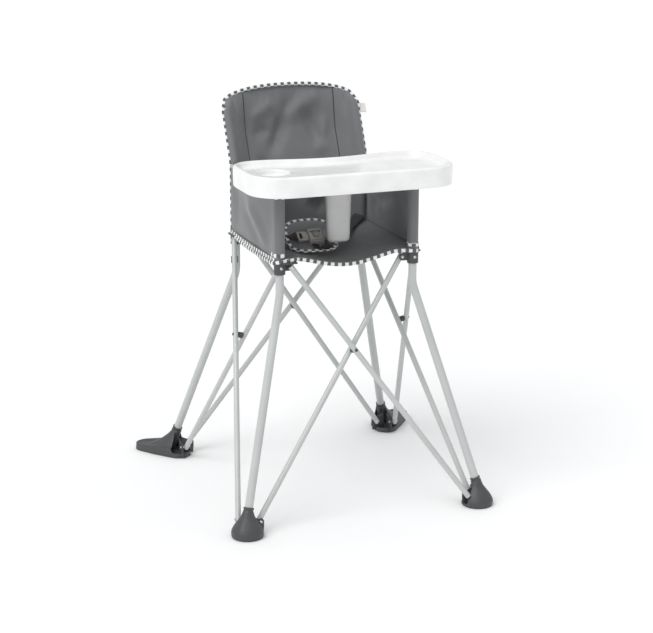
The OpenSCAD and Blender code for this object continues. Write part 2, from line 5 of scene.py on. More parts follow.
import bmesh
import bpy
import numpy as np
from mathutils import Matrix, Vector


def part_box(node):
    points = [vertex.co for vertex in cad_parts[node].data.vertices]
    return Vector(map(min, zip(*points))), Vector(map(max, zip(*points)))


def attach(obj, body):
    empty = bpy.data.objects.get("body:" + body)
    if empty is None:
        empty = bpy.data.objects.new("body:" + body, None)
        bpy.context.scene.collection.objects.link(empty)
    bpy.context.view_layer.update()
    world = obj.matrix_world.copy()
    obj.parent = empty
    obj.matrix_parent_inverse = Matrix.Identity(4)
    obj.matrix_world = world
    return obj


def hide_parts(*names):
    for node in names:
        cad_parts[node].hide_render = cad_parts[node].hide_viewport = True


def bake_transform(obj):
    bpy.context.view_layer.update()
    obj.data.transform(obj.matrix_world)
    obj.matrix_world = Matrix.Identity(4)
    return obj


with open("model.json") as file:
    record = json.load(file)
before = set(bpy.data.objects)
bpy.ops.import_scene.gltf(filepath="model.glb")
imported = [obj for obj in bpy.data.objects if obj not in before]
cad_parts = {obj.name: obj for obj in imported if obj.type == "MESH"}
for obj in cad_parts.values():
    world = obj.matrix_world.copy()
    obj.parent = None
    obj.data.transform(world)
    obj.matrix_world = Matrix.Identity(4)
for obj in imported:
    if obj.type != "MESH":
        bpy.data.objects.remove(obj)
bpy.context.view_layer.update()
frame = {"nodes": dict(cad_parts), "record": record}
RECORD = frame["record"]
CORNERS = ("front_left", "front_right", "rear_right", "rear_left")
MM = 0.001

# ---- places taken from the frame, in millimetres about the middle of the leg square ----

FEET = {m["name"][6:]: Vector(m["pos_m"]) for m in RECORD["mounts"] if m["name"].startswith("floor_")}
CENTRE_Y = sum(p.y for p in FEET.values()) / 4
FOOT_HALF = FEET["front_right"].x / MM


def node_box(node):
    """Lowest and highest corner of a CAD node, in millimetres about the middle of the leg square."""
    low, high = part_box(node)
    shift = Vector((0, CENTRE_Y, 0))
    return (low - shift) / MM, (high - shift) / MM


def middle(node):
    low, high = node_box(node)
    return (low + high) / 2


HALF = middle("front_sleeve_right").x
LEG_R = (node_box("leg_cap_front_left")[1].x - node_box("leg_cap_front_left")[0].x) / 2
SLEEVE_R = (node_box("front_sleeve_right")[1].x - node_box("front_sleeve_right")[0].x) / 2
SIDE_TOP = node_box("side_panel_left")[1].z
BACK_BEND = 757.0
BACK_LEAN = math.radians(25.6)
SIGNS = {"front_left": (-1, -1), "front_right": (1, -1), "rear_right": (1, 1), "rear_left": (-1, 1)}
REAR_CORNERS = ("rear_left", "rear_right")
WORDS = {-1: "left", 1: "right"}


# ---- materials ----

class Look:
    """A material being built: its shader's inputs, and the nodes that feed them."""

    def __init__(self, name, colour, roughness, metallic=0.0, specular=0.5, sheen=0.0, coat=0.0):
        self.material = bpy.data.materials.new(name)
        self.material.use_nodes = True
        self.nodes, self.links = self.material.node_tree.nodes, self.material.node_tree.links
        self.shader = self.nodes["Principled BSDF"].inputs
        self.shader["Base Color"].default_value = (*colour, 1)
        values = {"Roughness": roughness, "Metallic": metallic, "Specular IOR Level": specular,
                  "Sheen Weight": sheen, "Sheen Roughness": 0.45, "Coat Weight": coat}
        for socket, value in values.items():
            self.shader[socket].default_value = value

    def feed(self, socket, value):
        """Sets a socket to a plain value, or joins another node's output to it."""
        if isinstance(value, bpy.types.NodeSocket):
            self.links.new(value, socket)
        else:
            socket.default_value = value

    def coords(self):
        return self.nodes.new("ShaderNodeTexCoord").outputs["Object"]

    def noise(self, scale, detail):
        node = self.nodes.new("ShaderNodeTexNoise")
        for name, value in (("Vector", self.coords()), ("Scale", scale), ("Detail", detail)):
            self.feed(node.inputs[name], value)
        return node.outputs["Fac"]

    def split(self, source):
        node = self.nodes.new("ShaderNodeSeparateXYZ")
        self.links.new(source, node.inputs[0])
        return list(node.outputs)

    def tape_map(self):
        """Places along and round a tape or strap, from its own UV map."""
        uv = self.nodes.new("ShaderNodeUVMap")
        uv.uv_map = "tape"
        return self.split(uv.outputs["UV"])[:2]

    def maths(self, operation, *values):
        node = self.nodes.new("ShaderNodeMath")
        node.operation = operation
        for socket, value in zip(node.inputs, values):
            self.feed(socket, value)
        return node.outputs[0]

    def wave(self, source, pitch):
        return self.maths("SINE", self.maths("MULTIPLY", source, 2 * math.pi / pitch))

    def tint(self, source, low, high, colours):
        """Base colour between two colours, as the source goes from low to high."""
        node = self.nodes.new("ShaderNodeValToRGB")
        for stop, position, colour in zip(node.color_ramp.elements, (low, high), colours):
            stop.position = position
            stop.color = (*colour, 1)
        self.links.new(source, node.inputs["Fac"])
        self.links.new(node.outputs["Color"], self.shader["Base Color"])

    def dull(self, source, low, high):
        """Roughness between low and high, as the source goes from 0 to 1."""
        node = self.nodes.new("ShaderNodeMapRange")
        for name, value in (("Value", source), ("To Min", low), ("To Max", high)):
            self.feed(node.inputs[name], value)
        self.links.new(node.outputs["Result"], self.shader["Roughness"])

    def bump(self, height, strength, distance):
        """Relief over the surface. Returns the finished material."""
        node = self.nodes.new("ShaderNodeBump")
        for name, value in (("Strength", strength), ("Distance", distance), ("Height", height)):
            self.feed(node.inputs[name], value)
        self.links.new(node.outputs["Normal"], self.shader["Normal"])
        return self.material


def shades(colour, down, up):
    return [c * down for c in colour], [c * up for c in colour]


def fabric(name, colour, pitch=0.0011, sheen=0.25):
    """Plain-woven polyester: threads that cross on a panel facing any way, faint slubs and a soft sheen."""
    look = Look(name, colour, 0.55, sheen=sheen)
    slubs, patches = look.noise(900.0, 3.0), look.noise(14.0, 4.0)
    total = look.maths("ADD", look.maths("MULTIPLY", slubs, 0.6), look.maths("MULTIPLY", patches, 0.4))
    look.tint(total, 0.3, 0.7, shades(colour, 0.84, 1.14))
    x, y, z = (look.wave(part, pitch) for part in look.split(look.coords()))
    xy, yz, xz = (look.maths("MULTIPLY", *pair) for pair in ((x, y), (y, z), (x, z)))
    weave = look.maths("ADD", look.maths("ADD", xy, yz), xz)
    return look.bump(look.maths("ADD", weave, look.maths("MULTIPLY", slubs, 0.8)), 0.35, 0.00025)


def gingham(name, light, dark, square=0.0087):
    """Checked tape: squares along its length and across it, woven from white and grey threads."""
    look = Look(name, light, 0.78, specular=0.3, sheen=0.2)
    turns = [look.maths("FRACT", look.maths("DIVIDE", part, 2 * square)) for part in look.tape_map()]
    halves = [look.maths("GREATER_THAN", turn, 0.5) for turn in turns]
    differs = look.maths("ABSOLUTE", look.maths("SUBTRACT", *halves))
    threads = look.noise(1500.0, 2.0)
    fuzz = look.maths("MULTIPLY", look.maths("SUBTRACT", threads, 0.5), 0.35)
    look.tint(look.maths("ADD", differs, fuzz), 0.2, 0.8, (light, dark))
    return look.bump(threads, 0.4, 0.0003)


def plastic(name, colour, roughness, grain=0.15, coat=0.0):
    """Moulded plastic: a fine spark-eroded grain, faint flow marks and duller patches."""
    look = Look(name, colour, roughness, coat=coat)
    marks = look.noise(22.0, 5.0)
    look.tint(marks, 0.3, 0.75, shades(colour, 0.93, 1.05))
    look.dull(marks, roughness * 0.85, min(1.0, roughness * 1.2))
    return look.bump(look.noise(2500.0, 2.0), grain, 0.0002)


def powder_coat(name, colour):
    """Baked grey paint on steel tube: slight orange peel and a soft gloss."""
    look = Look(name, colour, 0.32, specular=0.55, coat=0.25)
    wear = look.noise(9.0, 6.0)
    look.tint(wear, 0.35, 0.7, shades(colour, 0.95, 1.04))
    look.dull(wear, 0.26, 0.42)
    return look.bump(look.noise(700.0, 2.0), 0.08, 0.0002)


def zinc(name):
    look = Look(name, (0.62, 0.62, 0.63), 0.3, metallic=1.0)
    scratches = look.noise(1200.0, 4.0)
    look.dull(scratches, 0.2, 0.45)
    return look.bump(scratches, 0.1, 0.0001)


def webbing(name, colour, pitch=0.0026):
    """Polypropylene webbing: ribs across the strap's length, with painted shade in the troughs and painted
    highlight on the ribs.
    """
    look = Look(name, colour, 0.6, specular=0.4, sheen=0.1)
    u, v = look.tape_map()
    along, across = look.wave(u, pitch), look.wave(v, pitch * 0.8)
    height = look.maths("ADD", along, look.maths("MULTIPLY", across, along))
    # colour follows the rib height: painted shade in the troughs between ribs and painted highlight on the
    # rib tops
    look.tint(look.maths("MULTIPLY_ADD", height, 0.25), 0.2, 0.9, shades(colour, 0.6, 1.5))
    return look.bump(height, 0.6, 0.0004)


SHELL_CLOTH = fabric("shell_cloth", (0.158, 0.162, 0.169))
SEAT_CLOTH = fabric("seat_cloth", (0.095, 0.098, 0.103))
THREAD = fabric("seam_thread", (0.03, 0.03, 0.032), pitch=0.0008)
GINGHAM = gingham("gingham_tape", (0.80, 0.80, 0.79), (0.105, 0.108, 0.112))
TAG_CLOTH = fabric("tag_satin", (0.80, 0.78, 0.77), pitch=0.0005, sheen=0.5)
WEBBING = webbing("black_webbing", (0.012, 0.012, 0.013))
BUCKLE = plastic("buckle_plastic", (0.34, 0.325, 0.30), 0.42)
BUTTON = plastic("button_plastic", (0.25, 0.24, 0.23), 0.4)
DARK_PLASTIC = plastic("dark_nylon", (0.060, 0.062, 0.064), 0.46, grain=0.25)
TRAY_PLASTIC = plastic("tray_gloss_white", (0.86, 0.86, 0.855), 0.24, grain=0.02, coat=0.3)
POST_PLASTIC = plastic("post_grey", (0.55, 0.55, 0.545), 0.36, grain=0.06)
PAINT = powder_coat("grey_powder_coat", (0.50, 0.515, 0.51))
STEEL = zinc("zinc_plate")

# ---- mesh building: points are in millimetres about the middle of the leg square ----

def smoothstep(t):
    t = np.clip(t, 0, 1)
    return t * t * (3 - 2 * t)


def turned(p, angle):
    """Leans points about the X axis, as OpenSCAD's rotate([angle, 0, 0]) does."""
    p = np.asarray(p, float)
    c, s = math.cos(angle), math.sin(angle)
    return np.stack([p[..., 0], p[..., 1] * c - p[..., 2] * s, p[..., 1] * s + p[..., 2] * c], -1)


def link(name, mesh, material):
    obj = bpy.data.objects.new(name, mesh)
    bpy.context.scene.collection.objects.link(obj)
    if material:
        mesh.materials.append(material)
    return obj


def make_mesh(name, points, faces, uvs=None):
    """uvs: one (u, v) per face corner, in millimetres, for the map that tapes and webbing are coloured by."""
    mesh = bpy.data.meshes.new(name)
    places = np.asarray(points, float) * MM + (0, CENTRE_Y, 0)
    mesh.from_pydata(places.tolist(), [], [tuple(f) for f in faces])
    if uvs is not None:
        mesh.uv_layers.new(name="tape").data.foreach_set("uv", (np.asarray(uvs, float) * MM).ravel())
    mesh.shade_smooth()
    mesh.update()
    return mesh


def add(name, points, faces, material, uvs=None):
    return link(name, make_mesh(name, points, faces, uvs), material)


def tidy_normals(obj, merge=0.00001):
    bm = bmesh.new()
    bm.from_mesh(obj.data)
    bmesh.ops.remove_doubles(bm, verts=bm.verts, dist=merge)
    bmesh.ops.recalc_face_normals(bm, faces=bm.faces)
    bm.to_mesh(obj.data)
    bm.free()
    obj.data.shade_smooth()
    return obj


def bake(obj):
    """Puts the object's modifiers into its mesh."""
    bpy.context.view_layer.update()
    made = bpy.data.meshes.new_from_object(obj.evaluated_get(bpy.context.evaluated_depsgraph_get()))
    obj.modifiers.clear()
    obj.data = made
    return obj


def bevel(obj, width):
    modifier = obj.modifiers.new("bevel", "BEVEL")
    modifier.width, modifier.segments = width * MM, 2
    modifier.limit_method, modifier.angle_limit = "ANGLE", math.radians(32)
    modifier.harden_normals = True


def grid_faces(rows, cols, wrap=False):
    """Quads over a rows x cols grid of points, joined round in the column direction where it wraps."""
    last = cols if wrap else cols - 1
    return [(r * cols + c, r * cols + (c + 1) % cols, (r + 1) * cols + (c + 1) % cols, (r + 1) * cols + c)
            for r in range(rows - 1) for c in range(last)]


def surface_normals(grid):
    across, down = np.gradient(grid, axis=1), np.gradient(grid, axis=0)
    n = np.cross(across, down)
    return n / np.maximum(np.linalg.norm(n, axis=-1, keepdims=True), 1e-9)


def cloth_shell(grid, thickness=1.4):
    """A closed sheet of the given thickness round a grid of points: both faces and the rims."""
    rows, cols = grid.shape[:2]
    half = surface_normals(grid) * thickness / 2
    points = np.concatenate([(grid + half).reshape(-1, 3), (grid - half).reshape(-1, 3)])
    top = grid_faces(rows, cols)
    count = rows * cols
    faces = top + [tuple(i + count for i in reversed(f)) for f in top]
    edge = ([(c, c + 1) for c in range(cols - 1)]
            + [(r * cols + cols - 1, (r + 1) * cols + cols - 1) for r in range(rows - 1)]
            + [((rows - 1) * cols + c + 1, (rows - 1) * cols + c) for c in range(cols - 1)]
            + [((r + 1) * cols, r * cols) for r in range(rows - 1)])
    faces += [(b, a, a + count, b + count) for a, b in edge]
    return points, faces


def cut(name, points, faces, material, parts, uvs=None, twin=0):
    """Cuts one mesh into pieces. Each piece keeps the whole mesh's shading, so no seam shows. parts lists
    (ending of the piece's name, test on face middles, the function then applied to the piece).
    Where the mesh is a cloth shell, twin is how far a point's number is from its twin's on the other face,
    and the cuts are closed between the two faces."""
    whole = make_mesh(name, points, faces, uvs)
    corner_normals = np.array([n.vector for n in whole.corner_normals])
    starts = np.array([p.loop_start for p in whole.polygons])
    bpy.data.meshes.remove(whole)
    points = np.asarray(points, float)
    if twin:
        between = (points[:twin] + points[twin:]) / 2
        middles = np.array([between[np.array(f) % twin].mean(0) for f in faces])
    else:
        middles = np.array([points[list(f)].mean(0) for f in faces])
    uvs = None if uvs is None else np.asarray(uvs, float)
    pieces = []
    for ending, test, move in parts:
        chosen = np.flatnonzero(test(middles))
        part = [list(faces[i]) for i in chosen]
        normals = [corner_normals[starts[i] + k] for i in chosen for k in range(len(faces[i]))]
        if twin:
            sides = [(f[k], f[(k + 1) % len(f)]) for f in part for k in range(len(f))]
            known = set(sides)
            for a, b in sides:
                if (b, a) not in known and a < twin and b < twin:
                    wall = [b, a, a + twin, b + twin]
                    n = np.cross(points[a] - points[b], points[b + twin] - points[b])
                    part.append(wall)
                    normals += [n / max(np.linalg.norm(n), 1e-9)] * 4
        used = sorted({v for f in part for v in f})
        index = {v: i for i, v in enumerate(used)}
        corners = None
        if uvs is not None:
            corners = uvs[np.concatenate([starts[i] + np.arange(len(faces[i])) for i in chosen])]
        mesh = make_mesh(name + ending, points[used], [[index[v] for v in f] for f in part], corners)
        mesh.normals_split_custom_set([tuple(n) for n in normals])
        piece = link(name + ending, mesh, material)
        move(piece)
        pieces.append(piece)
    return pieces


def lengths(path):
    """Length along a path to each of its points."""
    return np.concatenate([[0], np.cumsum(np.linalg.norm(np.diff(path, axis=0), axis=1))])


def oblong(angles, half_w, half_h, power, power_h=None):
    """Points at some angles round a shape between an ellipse, at power 2, and a rectangle."""
    c, s = np.cos(angles), np.sin(angles)
    return (np.sign(c) * np.abs(c) ** (2 / power) * half_w,
            np.sign(s) * np.abs(s) ** (2 / (power_h or power)) * half_h)


def spline(control, spacing, closed=False):
    """Evenly spaced points on a smooth curve through the control points."""
    p = np.asarray(control, float)
    n = len(p)
    if closed:
        ext = np.concatenate([p[-1:], p, p[:2]])
        spans = n
    else:
        ext = np.concatenate([2 * p[:1] - p[1:2], p, 2 * p[-1:] - p[-2:-1]])
        spans = n - 1
    t = np.linspace(0, 1, 24, endpoint=False)[:, None]
    dense = []
    for i in range(spans):
        a, b, c, d = ext[i:i + 4]
        cubic = 3 * b - a - 3 * c + d
        dense.append(0.5 * (2 * b + (c - a) * t + (2 * a - 5 * b + 4 * c - d) * t**2 + cubic * t**3))
    dense = np.concatenate(dense + [p[:1] if closed else p[-1:]])
    along = lengths(dense)
    count = max(4, int(round(along[-1] / spacing)) + 1)
    want = np.linspace(0, along[-1], count)
    made = np.stack([np.interp(want, along, dense[:, k]) for k in range(dense.shape[1])], -1)
    return made[:-1] if closed else made


CHECK = 8.7            # side of one gingham square
ROWS_PER_FACE = 1.16   # rows of squares that show on one face of a tape


def sweep(path, wide, width, thick, closed=False, corner=2.6, phase=0.0):
    """A flat rounded section swept along a path, its width along the wide directions. Returns mesh data with
    a map that runs along the path and round the section."""
    path = np.asarray(path, float)
    n = len(path)
    ahead = np.roll(path, -1, 0) - np.roll(path, 1, 0)
    if not closed:
        ahead[0], ahead[-1] = path[1] - path[0], path[-1] - path[-2]
    ahead /= np.linalg.norm(ahead, axis=1, keepdims=True)
    wide = np.broadcast_to(np.asarray(wide, float), path.shape)
    wide = wide - (wide * ahead).sum(1, keepdims=True) * ahead
    wide /= np.linalg.norm(wide, axis=1, keepdims=True)
    thin = np.cross(ahead, wide)
    a = np.linspace(0, 2 * math.pi, 16, endpoint=False) + math.pi / 16
    ring = np.stack(oblong(a, width / 2, thick / 2, corner), -1)
    m = len(ring)
    points = path[:, None] + ring[None, :, :1] * wide[:, None] + ring[None, :, 1:] * thin[:, None]
    v = lengths(np.vstack([ring, ring[:1]]))
    turn = (v + np.linalg.norm(ring[0] - ring[-1]) / 2) / v[-1]
    v = (turn * 2 * ROWS_PER_FACE + (1 - ROWS_PER_FACE) / 2) * CHECK
    u = lengths(np.vstack([path, path[:1]])) + phase
    faces, uvs = [], []
    for r in range(n if closed else n - 1):
        for c in range(m):
            faces.append((r * m + c, r * m + (c + 1) % m, (r + 1) % n * m + (c + 1) % m, (r + 1) % n * m + c))
            uvs += [(u[r], v[c]), (u[r], v[c + 1]), (u[r + 1], v[c + 1]), (u[r + 1], v[c])]
    if not closed:
        for ring_at, order in ((0, range(m - 1, -1, -1)), (n - 1, range(m))):
            faces.append(tuple(ring_at * m + c for c in order))
            uvs += [(u[ring_at], v[c]) for c in order]
    return points.reshape(-1, 3), faces, uvs


def joined(*parts):
    """Several (points, faces, uvs) as one."""
    points, faces, uvs, shift = [], [], [], 0
    for p, f, uv in parts:
        points.append(np.asarray(p, float))
        faces += [tuple(i + shift for i in face) for face in f]
        uvs += list(uv)
        shift += len(p)
    return np.concatenate(points), faces, uvs


def loft(rings, cap_start=True, cap_end=True):
    """Joins closed rings of equally many points."""
    rings = np.asarray(rings, float)
    n, m = rings.shape[:2]
    faces = grid_faces(n, m, wrap=True)
    if cap_start:
        faces.append(tuple(range(m - 1, -1, -1)))
    if cap_end:
        faces.append(tuple((n - 1) * m + c for c in range(m)))
    return rings.reshape(-1, 3), faces


def fold_line(p, q, a, b, width, height):
    """Height of a soft ridge along the line from a to b, at places (p, q)."""
    a, b = np.array(a, float), np.array(b, float)
    d = b - a
    length = np.linalg.norm(d)
    along = ((p - a[0]) * d[0] + (q - a[1]) * d[1]) / length
    off = ((p - a[0]) * -d[1] + (q - a[1]) * d[0]) / length
    ends = smoothstep(along / (0.3 * length)) * smoothstep((length - along) / (0.3 * length))
    return height * ends * np.exp(-((off / width) ** 2))


def folds(p, q, *ridges):
    """Summed heights of soft ridges at places (p, q). Each ridge is (from, to, width, height)."""
    return sum(fold_line(p, q, *ridge) for ridge in ridges)


# ---- pieces for cut() ----


def stretches_in_x(corner):
    return lambda piece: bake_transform(piece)


def stretches_in_y(corner):
    return lambda piece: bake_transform(piece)


def half_in_x(corner):
    """Test for face middles on the corner's side of the chair. half_in_y tests for its end."""
    return lambda m: (m[:, 0] >= 0) == (SIGNS[corner][0] > 0)


def half_in_y(corner):
    return lambda m: (m[:, 1] >= 0) == (SIGNS[corner][1] > 0)


def in_corner(corner):
    return lambda m: half_in_x(corner)(m) & half_in_y(corner)(m)


def corner_part(corner, wide):
    """A corner's piece for cut(), on the side of its diagonal where x leads (wide) or y does."""
    word, move = ("side", stretches_in_y) if wide else ("end", stretches_in_x)
    test = lambda m: in_corner(corner)(m) & ((np.abs(m[:, 0]) > np.abs(m[:, 1])) == wide)
    return f"_{corner}_{word}", test, move(corner)


def side_parts(side):
    """A side's pieces for cut(): the front half, and the rest."""
    front, rear = "front_" + WORDS[side], "rear_" + WORDS[side]
    return [("_front", half_in_y(front), stretches_in_y(front)),
            ("_rear", lambda m: ~half_in_y(front)(m), stretches_in_y(rear))]


def back_parts():
    return [(corner[4:], half_in_x(corner), stretches_in_x(corner)) for corner in REAR_CORNERS]


# ---- seat, sides and back ----

SEAT_EDGE = HALF + 11
SEAT_SAG = 23.0
BACK_SEAM = 115.0
# Half plan of the back, as (x, depth behind the leg line): its front layer, then round the leg and inward.
POCKET = [(0, 32), (60, 31), (108, 28), (BACK_SEAM, 27), (122, 21), (131, 13), (141, 5), (150, -4),
          (156, -9.6), (161.5, -11.6), (167.5, -10), (170.9, -6), (172.2, 0), (170.9, 6), (167.5, 10),
          (161.5, 12), (150, 17.5), (135, 24), (118, 29)]


def trough(x):
    """How far the seat sags at x, from its edges at the hubs."""
    return SEAT_SAG * np.cos(np.pi * np.clip(x, -132, 132) / 264) ** 1.5


def back_depth(x):
    """How far behind the leg line the back's front layer hangs at x."""
    front = np.array(POCKET[:10])
    return np.interp(np.abs(x), front[:, 0], front[:, 1])


def make_seat():
    rows, cols = 66, 70
    x = np.linspace(-SEAT_EDGE + 0.6, SEAT_EDGE - 0.6, cols)[None, :].repeat(rows, 0)
    v = np.linspace(0, 1, rows)[:, None].repeat(cols, 1)
    rear = HALF + back_depth(x) * smoothstep((HALF - np.abs(x)) / 30)
    y = -HALF - 1.5 + v * (rear + HALF + 1.5)
    sag = trough(x) * (1 - 0.18 * np.sin(np.pi * v))
    soft = folds(x, y, ((-140, 120), (-40, 40), 16, 1.6), ((140, 110), (60, 10), 18, 1.5),
                 ((-150, -120), (-70, -60), 14, 1.3), ((150, -130), (80, -60), 14, 1.3),
                 ((-20, 150), (10, 60), 15, -1.5))
    z = 599.6 - sag + soft
    points, faces = cloth_shell(np.stack([x, y, z], -1), 1.6)
    count = len(points) // 2
    middles = np.array([((points[:count] + points[count:]) / 2)[np.array(f) % count].mean(0) for f in faces])
    hole = np.zeros(len(faces), bool)
    for sx, sy in SIGNS.values():
        hole |= np.hypot(middles[:, 0] - sx * HALF, middles[:, 1] - sy * HALF) < LEG_R + 1.2
    faces = [f for f, gone in zip(faces, hole) if not gone]
    parts = [corner_part(corner, wide) for corner in CORNERS for wide in (True, False)]
    pieces = cut("seat_cloth", points, faces, SEAT_CLOTH, parts, twin=count)
    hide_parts("seat_panel")
    return pieces


def side_plan():
    """Plan of a side panel and its front sleeve, for the right side: along the side, round the leg and back
    to the stitch line on the panel's inner face."""
    r = SLEEVE_R - 0.8
    straight = np.stack([np.full(54, HALF + r), np.linspace(HALF - 4, -HALF, 54)], -1)
    a = np.radians(np.linspace(0, -180, 22))[1:]
    around = np.stack([HALF + r * np.cos(a), -HALF + r * np.sin(a)], -1)
    back = spline([(HALF - r, -HALF), (HALF - r + 2, -HALF + 9), (HALF + r - 6, -HALF + 23),
                   (HALF + r - 1.9, -HALF + 30)], 3.0)[1:]
    return np.concatenate([straight, around, back]), len(straight)


def side_levels(y):
    """Lower and upper edge of a side panel at y."""
    t = (y + HALF) / (2 * HALF)
    low = 598.5 - 5 * np.sin(np.pi * np.clip(t, 0, 1))
    high = SIDE_TOP - 9 + 16 * smoothstep(t) - 3 * np.sin(np.pi * np.clip(t, 0, 1))
    return low, high


def side_surface(side, rows=28):
    plan, count = side_plan()
    v = np.linspace(0, 1, rows)[:, None]
    low, high = side_levels(plan[:, 1])
    z = low + v * (high - low)
    x, y = plan[None, :, 0].repeat(rows, 0), plan[None, :, 1].repeat(rows, 0)
    on_panel = (np.arange(len(plan)) < count)[None, :] & (np.abs(y) < HALF - 8)
    hold = smoothstep((HALF - 8 - np.abs(y)) / 40) * np.sin(np.pi * v) ** 0.7
    if side < 0:
        soft = folds(y, z, ((60, 700), (-120, 606), 17, 8.0), ((96, 668), (-70, 596), 13, -6.0),
                     ((130, 735), (-20, 690), 22, 4.0))
    else:
        soft = folds(y, z, ((120, 640), (-60, 706), 18, 6.0), ((138, 704), (40, 636), 13, -6.5),
                     ((20, 744), (-120, 640), 17, 4.5))
    x = x + on_panel * hold * (-6.5 + soft)
    return np.stack([side * x, y, z], -1)


def make_side(side):
    word = WORDS[side]
    grid = side_surface(side)
    points, faces = cloth_shell(grid, 1.4)
    if side < 0:
        faces = [tuple(reversed(f)) for f in faces]
    pieces = cut("side_" + word, points, faces, SHELL_CLOTH, side_parts(side), twin=len(points) // 2)
    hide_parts("side_panel_" + word, "front_sleeve_" + word)
    return grid


def back_post(x, depth, s):
    """A point of the back: depth behind the leg line, s up the rear legs, which lean back above a bend."""
    r = 36.0
    tangent = r * math.tan(BACK_LEAN / 2)
    t = s - BACK_BEND
    angle = np.clip((t + tangent) / (r * BACK_LEAN), 0, 1) * BACK_LEAN
    arc_y, arc_z = r * (1 - np.cos(angle)), -tangent + r * np.sin(angle)
    past = np.maximum(t + tangent - r * BACK_LEAN, 0)
    before = np.minimum(t + tangent, 0)
    y = HALF + arc_y + past * np.sin(angle) + depth * np.cos(angle)
    z = BACK_BEND + arc_z + past * np.cos(angle) + before - depth * np.sin(angle)
    return np.stack([x, y, z], -1)


def crown(x):
    """Length along the rear legs at which the back's top edge lies, at x."""
    rise = 889 + 41 * (1 - np.clip(np.abs(x) / 167.5, 0, 1) ** 2.2) ** (1 / 2.2)
    return BACK_BEND + (rise - BACK_BEND) / math.cos(BACK_LEAN)


def back_surface(side, rows=64):
    plan = spline(POCKET, 4.6)
    x, depth = plan[:, 0], plan[:, 1]
    v = np.linspace(0, 1, rows)[:, None]
    low = np.where(x < HALF - 20, 599.6 - trough(x), 598.5)
    high = crown(x)
    s = low + v * (high - low)
    x, depth = x[None, :].repeat(rows, 0), depth[None, :].repeat(rows, 0)
    reach = np.where(np.abs(x) < 140, 105, 24)
    top_depth = np.where(np.abs(x) < 150, 2.5 + 7 * smoothstep((140 - np.abs(x)) / 60), 2.5)
    k = smoothstep((s - (crown(x) - reach)) / reach)
    depth = depth * (1 - k) + top_depth * k
    edge = smoothstep((BACK_SEAM - 4 - x) / 30) * np.sin(np.pi * v) ** 0.5
    px = side * x
    soft = 1.35 * folds(px, s, ((22, 950), (-62, 772), 15, 13.0), ((-36, 862), (92, 934), 19, -9.5),
                        ((-112, 866), (-30, 914), 15, -8.5), ((-108, 832), (-46, 850), 13, 6.0),
                        ((34, 900), (84, 786), 17, 8.0), ((100, 880), (60, 770), 15, -6.0),
                        ((-70, 800), (-110, 640), 18, 6.0), ((-20, 770), (-92, 640), 14, -7.0),
                        ((96, 742), (16, 628), 14, -9.0), ((116, 716), (52, 606), 12, 8.0),
                        ((-30, 752), (44, 618), 15, 7.0), ((70, 690), (120, 650), 9, -5.0))
    gathers = sum(4.0 * np.exp(-(((px - c) / 4.6) ** 2)) for c in (-92, -74, -58, -36, -8, 20, 58, 84))
    soft = soft + gathers * smoothstep((s - (crown(x) - 46)) / 30) * smoothstep((crown(x) - 1 - s) / 8)
    depth = depth + soft * edge
    return back_post(px, depth, s)


def make_back():
    left, right = (back_surface(side) for side in (-1, 1))
    points, faces = cloth_shell(np.concatenate([left[:, ::-1], right[:, 1:]], axis=1), 1.4)
    pieces = cut("back", points, [tuple(reversed(f)) for f in faces], SHELL_CLOTH, back_parts(),
                 twin=len(points) // 2)
    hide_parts("back_panel")
    return left, right


# ---- gingham binding ----

TAPE_W, TAPE_T = 9.0, 3.8


def make_back_binding():
    """The tape round the back: up one leg's edge, over the crown and down the other."""
    up = np.linspace(603, crown(np.array([168.5]))[0] - 8, 50)
    left = back_post(np.full(len(up), -(LEG_R + HALF + 0.2)), -3.0, up)
    across = np.linspace(-166.6, 166.6, 90)
    over = back_post(across, 3.0, crown(across) + 1.0)
    right = left[::-1] * (-1, 1, 1)
    path = spline(np.concatenate([left[::3], over[1:-1:2], right[::3]]), 4.0)
    normal = np.zeros_like(path)
    lean = smoothstep((path[:, 2] - 740) / 34)
    normal[:, 1], normal[:, 2] = -np.cos(BACK_LEAN * lean), np.sin(BACK_LEAN * lean)
    ahead = np.gradient(path, axis=0)
    wide = np.cross(ahead, normal)
    points, faces, uvs = sweep(path, wide, TAPE_W, TAPE_T)
    return cut("back_binding", points, faces, GINGHAM, back_parts(), uvs)


def make_side_bindings(side, grid):
    """The tape on a side panel's top edge and its sleeve's, the sleeve's short foot tape, and the tape on the
    panel's lower edge."""
    up = (0, 0, 1)
    top = spline(grid[-1][2:-3] + (0, 0, 0.5), 3.0)
    foot = spline(grid[0][50:-4] + (0, 0, 10.5), 2.0)
    lower = grid[0][:56].copy()
    lower[:, 0] += side * 1.9
    lower = spline(lower, 2.2)
    lower[:, 2] += 1.0 + 0.9 * np.sin(np.arange(len(lower)) * 2.2 * 2 * math.pi / 17.4)
    points, faces, uvs = joined(sweep(top, up, TAPE_W, TAPE_T, phase=3), sweep(foot, up, TAPE_W, 4.4),
                                sweep(lower, up, 7.6, 2.6, phase=8.2))
    return cut("side_binding_" + WORDS[side], points, faces, GINGHAM, side_parts(side), uvs)


def seat_edge_path():
    """Where the seat's own tape runs: along the left side, across the front, and along the right."""
    side_y = np.linspace(HALF - 6, -HALF + 2, 16)
    left = np.stack([np.full(16, -HALF - SLEEVE_R - 2.0), side_y,
                     591 - 5 * np.sin(np.pi * np.clip((side_y + HALF) / (2 * HALF), 0, 1))], -1)
    x = np.linspace(-HALF - 3, HALF + 3, 40)
    front = np.stack([x, np.full(40, -HALF - SLEEVE_R - 1.0) + 10 * smoothstep((HALF - 24 - np.abs(x)) / 26),
                      598.2 - trough(x) - 2.5 * smoothstep((np.abs(x) - 130) / 34)], -1)
    right = left[::-1] * (-1, 1, 1)
    return np.concatenate([left, front, right])


